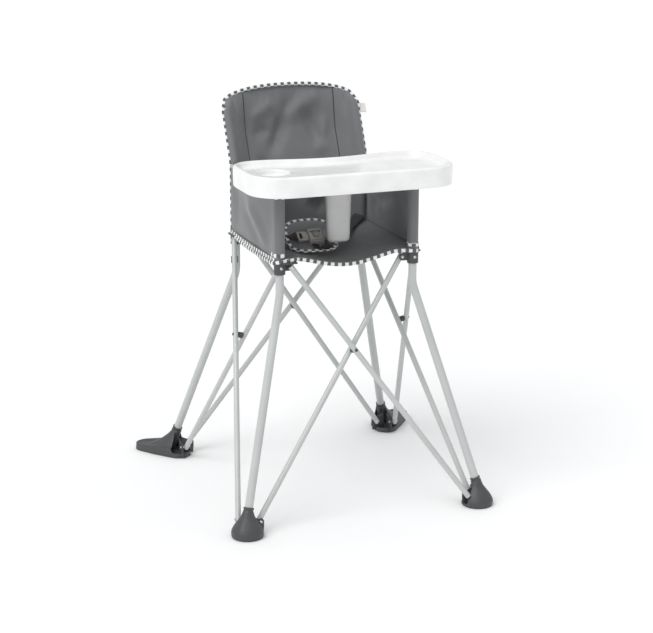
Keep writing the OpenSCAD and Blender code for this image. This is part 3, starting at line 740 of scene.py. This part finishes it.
def make_seat_binding():
    path = spline(seat_edge_path(), 2.6)
    wave = (np.abs(path[:, 1]) < HALF - 6) & (np.abs(path[:, 0]) > HALF)
    path[:, 2] += np.where(wave, 0.8 * np.sin(np.arange(len(path)) * 2.6 * 2 * math.pi / 17.4), 0)
    points, faces, uvs = sweep(path, (0, 0, 1), 8.4, TAPE_T)
    parts = []
    for corner in CORNERS:
        if corner in REAR_CORNERS:
            parts.append((f"_{corner}_side", in_corner(corner), stretches_in_y(corner)))
        else:
            parts += [corner_part(corner, wide) for wide in (True, False)]
    return cut("seat_binding", points, faces, GINGHAM, parts, uvs)


def make_seams(sides, backs):
    """Dark seams: down the back beside its pockets, at the sleeves, and where seat and panels meet."""
    for grid, corner in zip(backs, REAR_CORNERS):
        column = int(np.argmin(np.abs(np.abs(grid[30, :30, 0]) - BACK_SEAM - 1.5)))
        line = spline(grid[2:-1, column] + (0, -0.9, 0.2), 6.0)
        points, faces, uvs = sweep(line, (1, 0, 0), 2.4, 1.6)
        whole = [("", lambda m: np.ones(len(m), bool), stretches_in_x(corner))]
        obj = cut("back_seam" + corner[4:], points, faces, THREAD, whole, uvs)[0]
    for side, grid in sides.items():
        stitch = spline(grid[2:-2, -2] + (-side * 1.2, 0, 0), 6.0)
        run = np.linspace(HALF - 12, -HALF + 22, 30)
        edge = spline(np.stack([np.full(30, side * (HALF + 10.0)), run, np.full(30, 600.9)], -1), 5.0)
        points, faces, uvs = joined(sweep(stitch, (0, 1, 0), 2.2, 1.4), sweep(edge, (1, 0, 0), 3.0, 2.0))
        cut("side_seam_" + WORDS[side], points, faces, THREAD, side_parts(side), uvs)


# ---- harness ----

PAD_AT = np.array([-52.0, -67.0, 626.0])
PAD_LEAN = math.radians(-50)
BUCKLE_SHIFT = np.array([5.0, 0, -9.0])
PAD_W, PAD_H = 114.0, 100.0


def in_pad(p):
    """From the crotch pad's own frame (X across, Z up its slope, -Y towards the buckle) to the chair's."""
    return turned(p, PAD_LEAN) + PAD_AT


def in_buckle(p):
    return in_pad(np.asarray(p, float) + BUCKLE_SHIFT)


def pad_outline(n=96, inset=0.0):
    a = np.linspace(0, 2 * math.pi, n, endpoint=False)
    return oblong(a, PAD_W / 2 - inset, PAD_H / 2 - inset, 2.9)


def pad_bend(x, z):
    """The pad's lower end turns forward on to the seat, and its upper end curls back a little."""
    low = np.clip(-20 - z, 0, None)
    return -(low ** 2) / 85 + np.clip(z - 10, 0, None) ** 2 / 240 + 0.0008 * x * x


def make_pad():
    rings_front, rings_back = [], []
    for k in np.linspace(1, 0.02, 16):
        x, z = pad_outline()
        x, z = x * k, z * k
        puff = 2.9 * (1 - k ** 3.2)
        quilt = 0.35 * np.sin(x / 9.0) * np.sin(z / 8.0) * (1 - k)
        base = 2.5 + pad_bend(x, z)
        rings_front.append(np.stack([x, base - puff - 0.9 + quilt, z], -1))
        rings_back.append(np.stack([x, base + 0.6 * puff + 0.9, z], -1))
    rings = rings_front[::-1] + rings_back
    points, faces = loft([in_pad(r) for r in rings])
    pad = tidy_normals(add("crotch_pad_quilt", points, faces, SHELL_CLOTH))
    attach(pad, "seat_sling")
    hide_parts("crotch_pad")
    x, z = pad_outline(150, inset=-1.0)
    edge = spline(in_pad(np.stack([x, 2.5 + pad_bend(x, z), z], -1)), 3.2, closed=True)
    centre = in_pad(np.array([[0, 2.5, 0]]))[0]
    points, faces, uvs = sweep(edge, edge - centre, 9.0, 4.6, closed=True)
    tape = add("crotch_pad_binding", points, faces, GINGHAM, uvs)
    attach(tape, "seat_sling")


def moulded_box(low, high, radius, taper=0.0):
    """A box with rounded edges as a bmesh in millimetres, made smaller by the taper at its low Y end."""
    bm = bmesh.new()
    bmesh.ops.create_cube(bm, size=1)
    low, high = np.array(low, float), np.array(high, float)
    for v in bm.verts:
        k = np.array(v.co) + 0.5
        v.co = Vector(low + k * (high - low))
        if taper and k[1] < 0.5:
            v.co.x *= 1 - taper
            v.co.z *= 1 - taper
    bmesh.ops.bevel(bm, geom=bm.edges, offset=radius, segments=3, profile=0.5, affect="EDGES")
    return bm


def from_bm(name, bm, material, place=in_buckle):
    mesh = bpy.data.meshes.new(name)
    bm.to_mesh(mesh)
    bm.free()
    co = np.array([v.co for v in mesh.vertices], float)
    mesh.vertices.foreach_set("co", (place(co) * MM + (0, CENTRE_Y, 0)).ravel())
    mesh.shade_smooth()
    mesh.set_sharp_from_angle(angle=math.radians(50))
    mesh.update()
    return link(name, mesh, material)


def carve(obj, *cutters):
    for cutter in cutters:
        modifier = obj.modifiers.new("carve", "BOOLEAN")
        modifier.operation, modifier.object, modifier.solver = "DIFFERENCE", cutter, "EXACT"
    bake(obj)
    for cutter in cutters:
        bpy.data.objects.remove(cutter)
    obj.data.set_sharp_from_angle(angle=math.radians(38))
    return obj


def round_cutter(radius, low, high, z):
    """A plug along the buckle's Y axis, that carves the well which the release button sinks into."""
    bm = bmesh.new()
    bmesh.ops.create_cone(bm, cap_ends=True, segments=40, radius1=radius, radius2=radius, depth=high - low)
    for v in bm.verts:
        v.co = Vector((v.co.x, v.co.z + (low + high) / 2, v.co.y + z))
    bmesh.ops.recalc_face_normals(bm, faces=bm.faces)
    return bm


def make_buckle():
    body = carve(from_bm("buckle_body", moulded_box((-18, -15, -20), (18, -0.6, 18), 2.2, 0.06), BUCKLE),
                 from_bm("c1", moulded_box((-12.5, -22, 4.5), (12.5, -9.5, 10.5), 1.2), None),
                 from_bm("c2", moulded_box((-13, -22, -18.2), (13, -11, -14), 1.0), None),
                 from_bm("c3", moulded_box((-25, -11.8, -8.2), (25, -4.6, 8.2), 0.8), None),
                 from_bm("c4", round_cutter(8.0, -16, -12, -1.5), None))
    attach(body, "buckle")
    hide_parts("buckle_socket")
    a = np.linspace(0, 2 * math.pi, 40, endpoint=False)
    profile = ((-14.4, 7.6), (-17.2, 7.6), (-18.1, 7.1), (-18.4, 6.0), (-18.2, 4.6), (-17.7, 2.5),
               (-17.5, 0.4))
    rings = [np.stack([r * np.cos(a), np.full(40, y), r * np.sin(a) - 1.5], -1) for y, r in profile]
    points, faces = loft([in_buckle(r) for r in rings])
    button = tidy_normals(add("release_button_cap", points, faces, BUTTON))
    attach(button, "release_button")
    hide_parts("buckle_button")
    for s, word in WORDS.items():
        low, high = sorted((s * 44, s * 18.6))
        plate = moulded_box((low, -12.6, -12), (high, -4.4, 12), 1.8)
        slit_low, slit_high = sorted((s * 39, s * 32.5))
        slit = moulded_box((slit_low, -20, -8.5), (slit_high, 5, 8.5), 1.0)
        prong = carve(from_bm(f"prong_{word}_plate", plate, BUCKLE), from_bm("p1", slit, None))
        low, high = sorted((s * 20, s * 2))
        blade = moulded_box((low, -11.2, -6.8), (high, -5.4, 6.8), 1.2)
        tongue = from_bm(f"prong_{word}_tongue", blade, BUCKLE)
        for piece in (prong, tongue):
            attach(piece, "prong_" + word)
        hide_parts("buckle_prong_" + word)


def ribbon(name, path, wide, width=24.0, thick=1.5):
    points, faces, uvs = sweep(path, wide, width, thick, corner=5)
    return add(name, points, faces, WEBBING, uvs)


def make_straps():
    route = ((0, -1.6, -14), (0, -2.6, -24), (1, -7.0, -34), (3, -14, -42), (8, -24, -47), (16, -36, -49))
    crotch = ribbon("crotch_webbing", spline([in_buckle(p) for p in route], 3.0),
                    np.array([0.94, 0.05, -0.22]))
    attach(crotch, "buckle")
    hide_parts("crotch_strap")
    for s, word in WORDS.items():
        start = in_buckle([s * 36.0, -8.5, 0])
        end = np.array([s * 150.0, 150, 612])
        a = np.array([PAD_AT[0] + BUCKLE_SHIFT[0] + s * 62, -52, 628])
        b = np.array([s * 150.0, 146, 614])
        d = (b - a) / np.linalg.norm(b - a)
        line = [start, a * 0.6 + start * 0.4 + (0, 0, 0.5), a + d * 10, a + d * 33, a + d * 56]
        for k in (0.45, 0.62, 0.8):
            line.append(a + (b - a) * k + (0, 0, -8 * math.sin(math.pi * k)))
        line += [b, end]
        path = spline(line, 3.0)
        ahead = np.gradient(path, axis=0)
        wide = np.cross(ahead, np.array([0.25 * s, -0.35, 1.0]))
        strap = ribbon("waist_webbing_" + word, path, wide)
        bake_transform(strap)
        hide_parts("waist_strap_" + word)
        flat = np.cross(d, (0, 0, 1))
        flat /= np.linalg.norm(flat)
        turn = np.stack([flat, np.cross(flat, d), d], -1)

        def place(p, turn=turn, origin=a + d * 33):
            return p @ turn.T + origin

        outside = moulded_box((-15.5, -3, -11), (15.5, 3, 11), 1.5)
        slits = (((-12.6, -9, -8), (12.6, 9, -2.4), 0.8), ((-12.6, -9, 2.4), (12.6, 9, 8), 0.8),
                 ((-12.6, -1.1, -20), (12.6, 1.1, 20), 0.3))
        adjuster = carve(from_bm(f"adjuster_{word}_frame", outside, BUCKLE, place),
                         *[from_bm("slit", moulded_box(*slit), None, place) for slit in slits])
        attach(adjuster, "adjuster_" + word)
        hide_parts("strap_adjuster_" + word)


def make_tag():
    v = np.linspace(0, 1, 12)[:, None].repeat(9, 1)
    u = np.linspace(0, 1, 9)[None, :].repeat(12, 0)
    s = 868 + 24 * v
    grid = back_post(HALF + SLEEVE_R + 0.5 + 18.5 * u, 1.2 * np.sin(3 * u) + 1.5 * u * (v - 0.4), s)
    grid[..., 2] -= 1.6 * u
    points, faces = cloth_shell(grid, 0.7)
    tag = tidy_normals(add("side_tag_cloth", points, faces, TAG_CLOTH))
    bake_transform(tag)
    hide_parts("side_tag")


# ---- tray ----

TRAY_TOP = 800.0
DECK = 790.0
CUP = np.array([-165.0, -130.0])
POST_Y = -105.0
CUP_R = 39.0
CUP_DEPTH = 12.0


def tray_outline(count=360):
    """The tray's outline as evenly spaced points with their outward normals: round corners and a shallow
    hollow towards the child."""
    front, rear, half_w, off = node_box("tray_top")[0].y, -19.0, 243.0, 3.0
    front_r, rear_r = 74.0, 56.0
    points = []
    corners = ((1, -1, front_r, -90), (1, 1, rear_r, 0), (-1, 1, rear_r, 90), (-1, -1, front_r, 180))
    for sx, sy, r, start in corners:
        cx, cy = off + sx * (half_w - r), (rear if sy > 0 else front) - sy * r
        a = np.radians(np.linspace(start, start + 90, 30))
        points.append(np.stack([cx + r * np.cos(a), cy + r * np.sin(a)], -1))
        if start == 0:
            x = np.linspace(150, -150, 60)
            points.append(np.stack([x, rear - 24.0 * np.cos(np.pi * x / 310) ** 1.3], -1))
    dense = np.concatenate(points + [points[0][:1]])
    along = lengths(dense)
    want = np.linspace(0, along[-1], count, endpoint=False)
    p = np.stack([np.interp(want, along, dense[:, k]) for k in (0, 1)], -1)
    kernel = np.exp(-0.5 * (np.arange(-12, 13) / 4.0) ** 2)
    kernel /= kernel.sum()
    p = sum(k * np.roll(p, i - 12, axis=0) for i, k in enumerate(kernel))
    ahead = np.roll(p, -1, 0) - np.roll(p, 1, 0)
    n = np.stack([ahead[:, 1], -ahead[:, 0]], -1)
    return p, n / np.linalg.norm(n, axis=1, keepdims=True)


def make_tray():
    p, n = tray_outline()
    count = len(p)
    around = np.arctan2(p[:, 1] - CUP[1], p[:, 0] - CUP[0])
    skirt_low, underside, floor = TRAY_TOP - 46, DECK - 4.2, DECK - CUP_DEPTH

    def ring(inset, z):
        return np.column_stack([p - n * inset, np.full(count, float(z))])

    def cup_ring(r, z):
        return np.column_stack([CUP[0] + r * np.cos(around), CUP[1] + r * np.sin(around),
                                np.full(count, float(z))])

    def level(start, end, z, steps):
        """Rings at one height that pass from one ring's plan to another's."""
        return [np.column_stack([start[:, :2] * (1 - k) + end[:, :2] * k, np.full(count, z)]) for k in steps]

    def rounded(cx, cz, r, start, stop, steps=5):
        angles = [math.radians(a) for a in np.linspace(start, stop, steps)]
        return [(cx + r * math.cos(a), cz + r * math.sin(a)) for a in angles]

    under = [(24, underside), (9, underside), (6.5, DECK - 6.5), (4.2, DECK - 14), (3.4, skirt_low + 1)]
    lip = rounded(2.4, skirt_low + 1.2, 1.2, 0, -90, 3) + rounded(1.9, skirt_low + 1.4, 1.4, -90, -180, 4)
    side = [(0.2, skirt_low + 9), (-0.1, skirt_low + 20), (-0.1, TRAY_TOP - 14)]
    rim = rounded(6.4, TRAY_TOP - 6.5, 6.5, 180, 90, 8) + [(8.5, TRAY_TOP)]
    rim += rounded(8.8, TRAY_TOP - 4, 4, 90, 30, 5)
    well = [(15.4, DECK + 3.2)] + rounded(19.6, DECK + 3.4, 3.4, 210, 270, 4) + [(24, DECK)]
    rings = [ring(i, z) for i, z in under + lip + side + rim + well]
    rings += level(rings[-1], cup_ring(CUP_R + 1.5, DECK), DECK, np.linspace(0.12, 1, 9))
    cup = ((0, DECK - 0.5), (0.8, DECK - 1.8), (1.8, floor + 4), (2.6, floor + 1.6), (4.6, floor + 0.3),
           (7, floor), (14, floor), (CUP_R * 0.7, floor), (CUP_R - 1.0, floor))
    rings += [cup_ring(CUP_R - inset, z) for inset, z in cup]
    points, faces = loft(rings, cap_start=False)
    lower = [rings[0]] + level(rings[0], cup_ring(CUP_R + 3, 0), underside, np.linspace(0.15, 1, 8))
    shell = ((CUP_R + 3, DECK - 7), (CUP_R + 2.6, floor - 2), (CUP_R + 1, floor - 4),
             (CUP_R * 0.5, floor - 4.2), (1.0, floor - 4.2))
    lower += [cup_ring(r, z) for r, z in shell]
    low_points, low_faces = loft(lower, cap_start=False)
    faces = faces + [tuple(i + len(points) for i in reversed(f)) for f in low_faces]
    tray = tidy_normals(add("tray_shell", np.concatenate([points, low_points]), faces, TRAY_PLASTIC))
    tray.data.set_sharp_from_angle(angle=math.radians(60))
    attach(tray, "tray")
    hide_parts("tray_top")



def make_post():
    low = node_box("tray_post")[0].z
    top = DECK - 4.1
    a = np.linspace(0, 2 * math.pi, 72, endpoint=False)

    def ring(z, shrink):
        t = (z - low) / (top - low)
        x, y = oblong(a, 27.0 + 6.2 * t - shrink, 12.2 + 3.9 * t - shrink, 2.5, 2.3)
        return np.column_stack([x, POST_Y + y, np.full(len(a), z)])

    foot = ((0, 10.5), (0.5, 7.5), (1.6, 4.4), (3.4, 2.2), (6, 0.8), (9, 0.15))
    rings = [ring(low + up, shrink) for up, shrink in foot]
    rings += [ring(z, 0) for z in np.linspace(low + 14, top - 6, 12)] + [ring(top - 2.5, -0.8), ring(top, -3)]
    points, faces = loft(rings)
    post = tidy_normals(add("tray_post_shell", points, faces, POST_PLASTIC))
    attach(post, "tray")
    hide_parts("tray_post")


# ---- feet ----

BASE_T = 6.8
FOOT_LEG_Z = 45.0
REAR_SPLAY = 31.5
EAR_T = 2.6
# Height and radius of a front foot's dome.
DOME = [(7, 36.9), (10, 37.2), (16, 36), (24, 32), (32, 26.5), (40, 20.5), (47, 15.8), (54, 13.2)]
PIVOT_OUT = 31.0
PIVOT_Z = 30.0


def leg_axis(corner, z):
    """The leg's axis near its foot, at height z."""
    sx, sy = SIGNS[corner]
    rear = sy > 0
    rise = (496.0 if rear else 517.0) - FOOT_LEG_Z
    run = FOOT_HALF - HALF
    splay = REAR_SPLAY if rear else 0.0
    return np.array([sx * (FOOT_HALF - (z - FOOT_LEG_Z) * run / rise),
                     sy * (FOOT_HALF + splay - (z - FOOT_LEG_Z) * (run + splay) / rise), z])


def hull_reach(centre, circles, directions):
    """Distance from centre to the edge of the hull of circles (x, y, r), in each direction."""
    phi = np.linspace(0, 2 * math.pi, 360, endpoint=False)
    u = np.stack([np.cos(phi), np.sin(phi)], -1)
    support = np.max([(np.array(c[:2]) - centre) @ u.T + c[2] for c in circles], axis=0)
    cosine = np.cos(phi[None, :] - directions[:, None])
    return np.min(np.where(cosine > 0.05, support[None, :] / np.maximum(cosine, 0.05), 1e9), axis=1)


def foot_body(corner):
    sx, sy = SIGNS[corner]
    rear = sy > 0
    angles = np.linspace(0, 2 * math.pi, 128, endpoint=False)
    foot = np.array([sx * FOOT_HALF, sy * FOOT_HALF])
    outward = math.atan2(sy, sx)
    if rear:
        tail = np.array([sx * math.cos(math.radians(49)), math.sin(math.radians(49))])
        centre = foot + (0, REAR_SPLAY * 0.6)
        circles = [(*foot, 30.0), (foot[0], foot[1] + REAR_SPLAY, 27.0),
                   (*(foot + tail * 58.0), 29.5), (*(foot + tail * 101.0), 25.0)]
        outward = math.atan2(tail[1], tail[0])
        rim, top_z, window = 12.0, 55.0, 104
    else:
        centre, circles = foot, [(*foot, 36.8)]
        rim, top_z, window = 7.0, 54.0, 112
    edge = hull_reach(centre, circles, angles)
    off = np.abs((angles - outward + math.pi) % (2 * math.pi) - math.pi)
    outer = smoothstep((math.radians(window) - off) / math.radians(9) + 0.5)
    crease = np.exp(-((off / math.radians(16)) ** 2))
    top = leg_axis(corner, top_z)[:2]
    rings = []

    def ring(centre_at, reach, z):
        reach, z = np.broadcast_to(reach, angles.shape), np.broadcast_to(z, angles.shape)
        return np.column_stack([centre_at[..., 0] + reach * np.cos(angles),
                                centre_at[..., 1] + reach * np.sin(angles), z])

    skirt = ((1.6, 0), (0.5, 0.6), (0, 1.8)) if rear else ((3.0, 0), (1.2, 0.8), (0.3, 2.5), (0, 5.0))
    for inset, z in skirt:
        rings.append(ring(centre, edge - inset, z))
    steps = 26
    dome_z, dome_r = np.array(DOME).T
    for i in range(steps + 1):
        t = i / steps
        if rear:
            wall = 15.5 + 9.5 * smoothstep(1 - (edge - 28) / 96)
            out_z = wall + (top_z - wall) * t ** 2.6 - 3.0 * np.sin(math.pi * min(1, t * 1.9)) * (t < 0.526)
            out_r = (edge - 1.2) * (1 - t) + 13.2 * t
        else:
            out_z = rim + (top_z - rim) * t
            out_r = np.interp(out_z, dome_z, dome_r) + crease * 1.6 * math.sin(math.pi * t)
        floor = min(1.0, t / 0.34)
        rise = max(0.0, (t - 0.34) / 0.66)
        flange = (rim - BASE_T + 0.6) * (1 - min(1, t / 0.05))
        in_z = BASE_T - 0.6 + flange + (top_z - BASE_T + 0.6) * rise
        in_r = (edge - 1.5) * (1 - floor) + 14.0 * floor - 0.8 * rise
        k_out = t ** 1.3
        c_out = centre * (1 - k_out) + top * k_out
        at_low = leg_axis(corner, BASE_T)[:2]
        c_in = (centre * (1 - floor) + at_low * floor) * (1 - rise) + top * rise
        a = ring(c_out, out_r, out_z)
        b = ring(c_in, in_r, in_z)
        rings.append(a * outer[:, None] + b * (1 - outer[:, None]))
    rings.append(ring(leg_axis(corner, top_z + 1.2)[:2], 12.2, top_z + 1.2))
    rings.append(ring(leg_axis(corner, top_z + 1.4)[:2], LEG_R + 0.4, top_z + 1.4))
    return loft(rings, cap_end=False)


def around_leg(corner, profile, count=48):
    """Rings square to the leg's axis: profile gives (height, radius)."""
    a = np.linspace(0, 2 * math.pi, count, endpoint=False)
    d = leg_axis(corner, 60) - leg_axis(corner, 20)
    d /= np.linalg.norm(d)
    e = np.cross(d, (1, 0, 0))
    e /= np.linalg.norm(e)
    f = np.cross(d, e)
    rings = [leg_axis(corner, z) + r * (np.cos(a)[:, None] * e + np.sin(a)[:, None] * f) for z, r in profile]
    return loft(rings, cap_start=False, cap_end=False)


def foot_ear(corner, along_x):
    """A rounded upright plate that carries a cross tube's rivet."""
    sx, sy = SIGNS[corner]
    profile = []
    for a in np.linspace(-90, 118, 22):
        turn = math.radians(a)
        profile.append((PIVOT_OUT + 8 * math.cos(turn), PIVOT_Z + 8 * math.sin(turn)))
    profile += [(8.0, PIVOT_Z + 16), (6.0, 3.0), (PIVOT_OUT - 2, 3.0), (PIVOT_OUT + 6.5, 3.0),
                (PIVOT_OUT + 8, PIVOT_Z - 4)]
    profile = np.array(profile[3:-1] + profile[-1:])
    bm = bmesh.new()
    verts = [bm.verts.new((u, -EAR_T / 2, w)) for u, w in profile]
    face = bm.faces.new(verts)
    made = bmesh.ops.extrude_face_region(bm, geom=[face])
    for v in made["geom"]:
        if isinstance(v, bmesh.types.BMVert):
            v.co.y += EAR_T
    bmesh.ops.recalc_face_normals(bm, faces=bm.faces)

    def place(p):
        u, v, w = p[:, 0], p[:, 1], p[:, 2]
        x, y = (u, v) if along_x else (v, u)
        return np.stack([sx * FOOT_HALF - sx * x, sy * FOOT_HALF - sy * y, w], -1)

    return bm, place


def make_feet():
    for corner in CORNERS:
        points, faces = foot_body(corner)
        body = tidy_normals(add(f"foot_shell_{corner}", points, faces, DARK_PLASTIC))
        body.data.set_sharp_from_angle(angle=math.radians(48))
        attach(body, "leg_" + corner)
        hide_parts("foot_" + corner)
        top = 56.0 if corner.startswith("rear") else 55.5
        profile = [(top - 5, 12.4), (top + 3, 12.0), (top + 4.2, 10.6), (top + 4.6, 10.9), (top + 9.2, 12.2),
                   (top + 10.2, 11.9), (top + 10.4, LEG_R + 0.1)]
        points, faces = around_leg(corner, profile)
        collar = tidy_normals(add(f"foot_collar_{corner}", points, faces, DARK_PLASTIC))
        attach(collar, "leg_" + corner)
        for along_x in (True, False):
            bm, place = foot_ear(corner, along_x)
            ear = from_bm(f"foot_ear_{corner}_{'x' if along_x else 'y'}", bm, DARK_PLASTIC, place)
            tidy_normals(ear)
            ear.data.set_sharp_from_angle(angle=math.radians(40))
            bevel(ear, 0.6)
            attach(ear, "leg_" + corner)


# ---- finishes of the CAD nodes that stay ----

def finish_cad():
    rules = (("tube_clip", DARK_PLASTIC), ("tube_", PAINT), ("leg_cap", DARK_PLASTIC), ("leg_", PAINT),
             ("hub_fasteners", STEEL), ("hub_", DARK_PLASTIC), ("rivets_", STEEL),
             ("tray_cradles", TRAY_PLASTIC), ("tray_screws", STEEL))
    for name, node in frame["nodes"].items():
        if node.hide_render:
            continue
        for start, material in rules:
            if name.startswith(start):
                node.data.materials.clear()
                node.data.materials.append(material)
                break
        else:
            print("no finish for", name)
        if name.startswith("hub_") and not name.startswith("hub_fasteners"):
            bevel(node, 0.8)
        if name.startswith("rivets_"):      # the crossings' spacers, well above the feet and below the hubs
            node.data.materials.append(DARK_PLASTIC)
            for polygon in node.data.polygons:
                polygon.material_index = 0.15 < (node.matrix_world @ polygon.center).z < 0.5


# ---- stage ----

def make_stage():
    scene = bpy.context.scene
    look = Look("pale_floor", (0.93, 0.93, 0.93), 0.6, specular=0.2)
    look.tint(look.noise(3.0, 2.0), 0.3, 0.7, ((0.925,) * 3, (0.935,) * 3))
    mesh = bpy.data.meshes.new("floor")
    far = 60.0
    corners = ((-far, -far), (far, -far), (far, far), (-far, far))
    mesh.from_pydata([(x, y, -0.0005) for x, y in corners], [], [(0, 1, 2, 3)])
    floor = link("floor", mesh, look.material)

    world = bpy.data.worlds.new("studio")
    scene.world = world
    world.use_nodes = True
    world.node_tree.nodes["Background"].inputs["Color"].default_value = (0.98, 0.99, 1.0, 1)
    world.node_tree.nodes["Background"].inputs["Strength"].default_value = 0.70

    def sun(name, towards, power, angle):
        light = bpy.data.lights.new(name, "SUN")
        light.energy, light.angle = power, math.radians(angle)
        obj = bpy.data.objects.new(name, light)
        obj.rotation_euler = Vector(towards).to_track_quat("-Z", "Y").to_euler()
        scene.collection.objects.link(obj)

    sun("key", (0.75, 0.35, -1.0), 1.42, 42)
    sun("top", (-0.15, 0.1, -1.0), 0.35, 70)

    camera = bpy.data.cameras.new("camera")
    azimuth, elevation, distance = math.radians(-20.27), math.radians(15.59), 4.156
    target = Vector((0, CENTRE_Y, 0.409))
    flat = math.cos(elevation)
    back_to = Vector((math.sin(azimuth) * flat, -math.cos(azimuth) * flat, math.sin(elevation)))
    obj = bpy.data.objects.new("camera", camera)
    obj.location = target + back_to * distance
    obj.rotation_euler = (-back_to).to_track_quat("-Z", "Y").to_euler()
    camera.lens, camera.sensor_width, camera.shift_x = 96.45, 36.0, 0.0064
    scene.collection.objects.link(obj)
    scene.camera = obj
    scene.view_settings.view_transform = "Standard"
    scene.view_settings.look = "None"


# ---- build ----

make_seat()
side_grids = {side: make_side(side) for side in (-1, 1)}
back_grids = make_back()
binding = make_back_binding() + make_seat_binding()
for side in (-1, 1):
    binding += make_side_bindings(side, side_grids[side])
make_seams(side_grids, back_grids)
make_pad()
make_buckle()
make_straps()
make_tag()
make_tray()
make_post()
make_feet()
finish_cad()
make_stage()
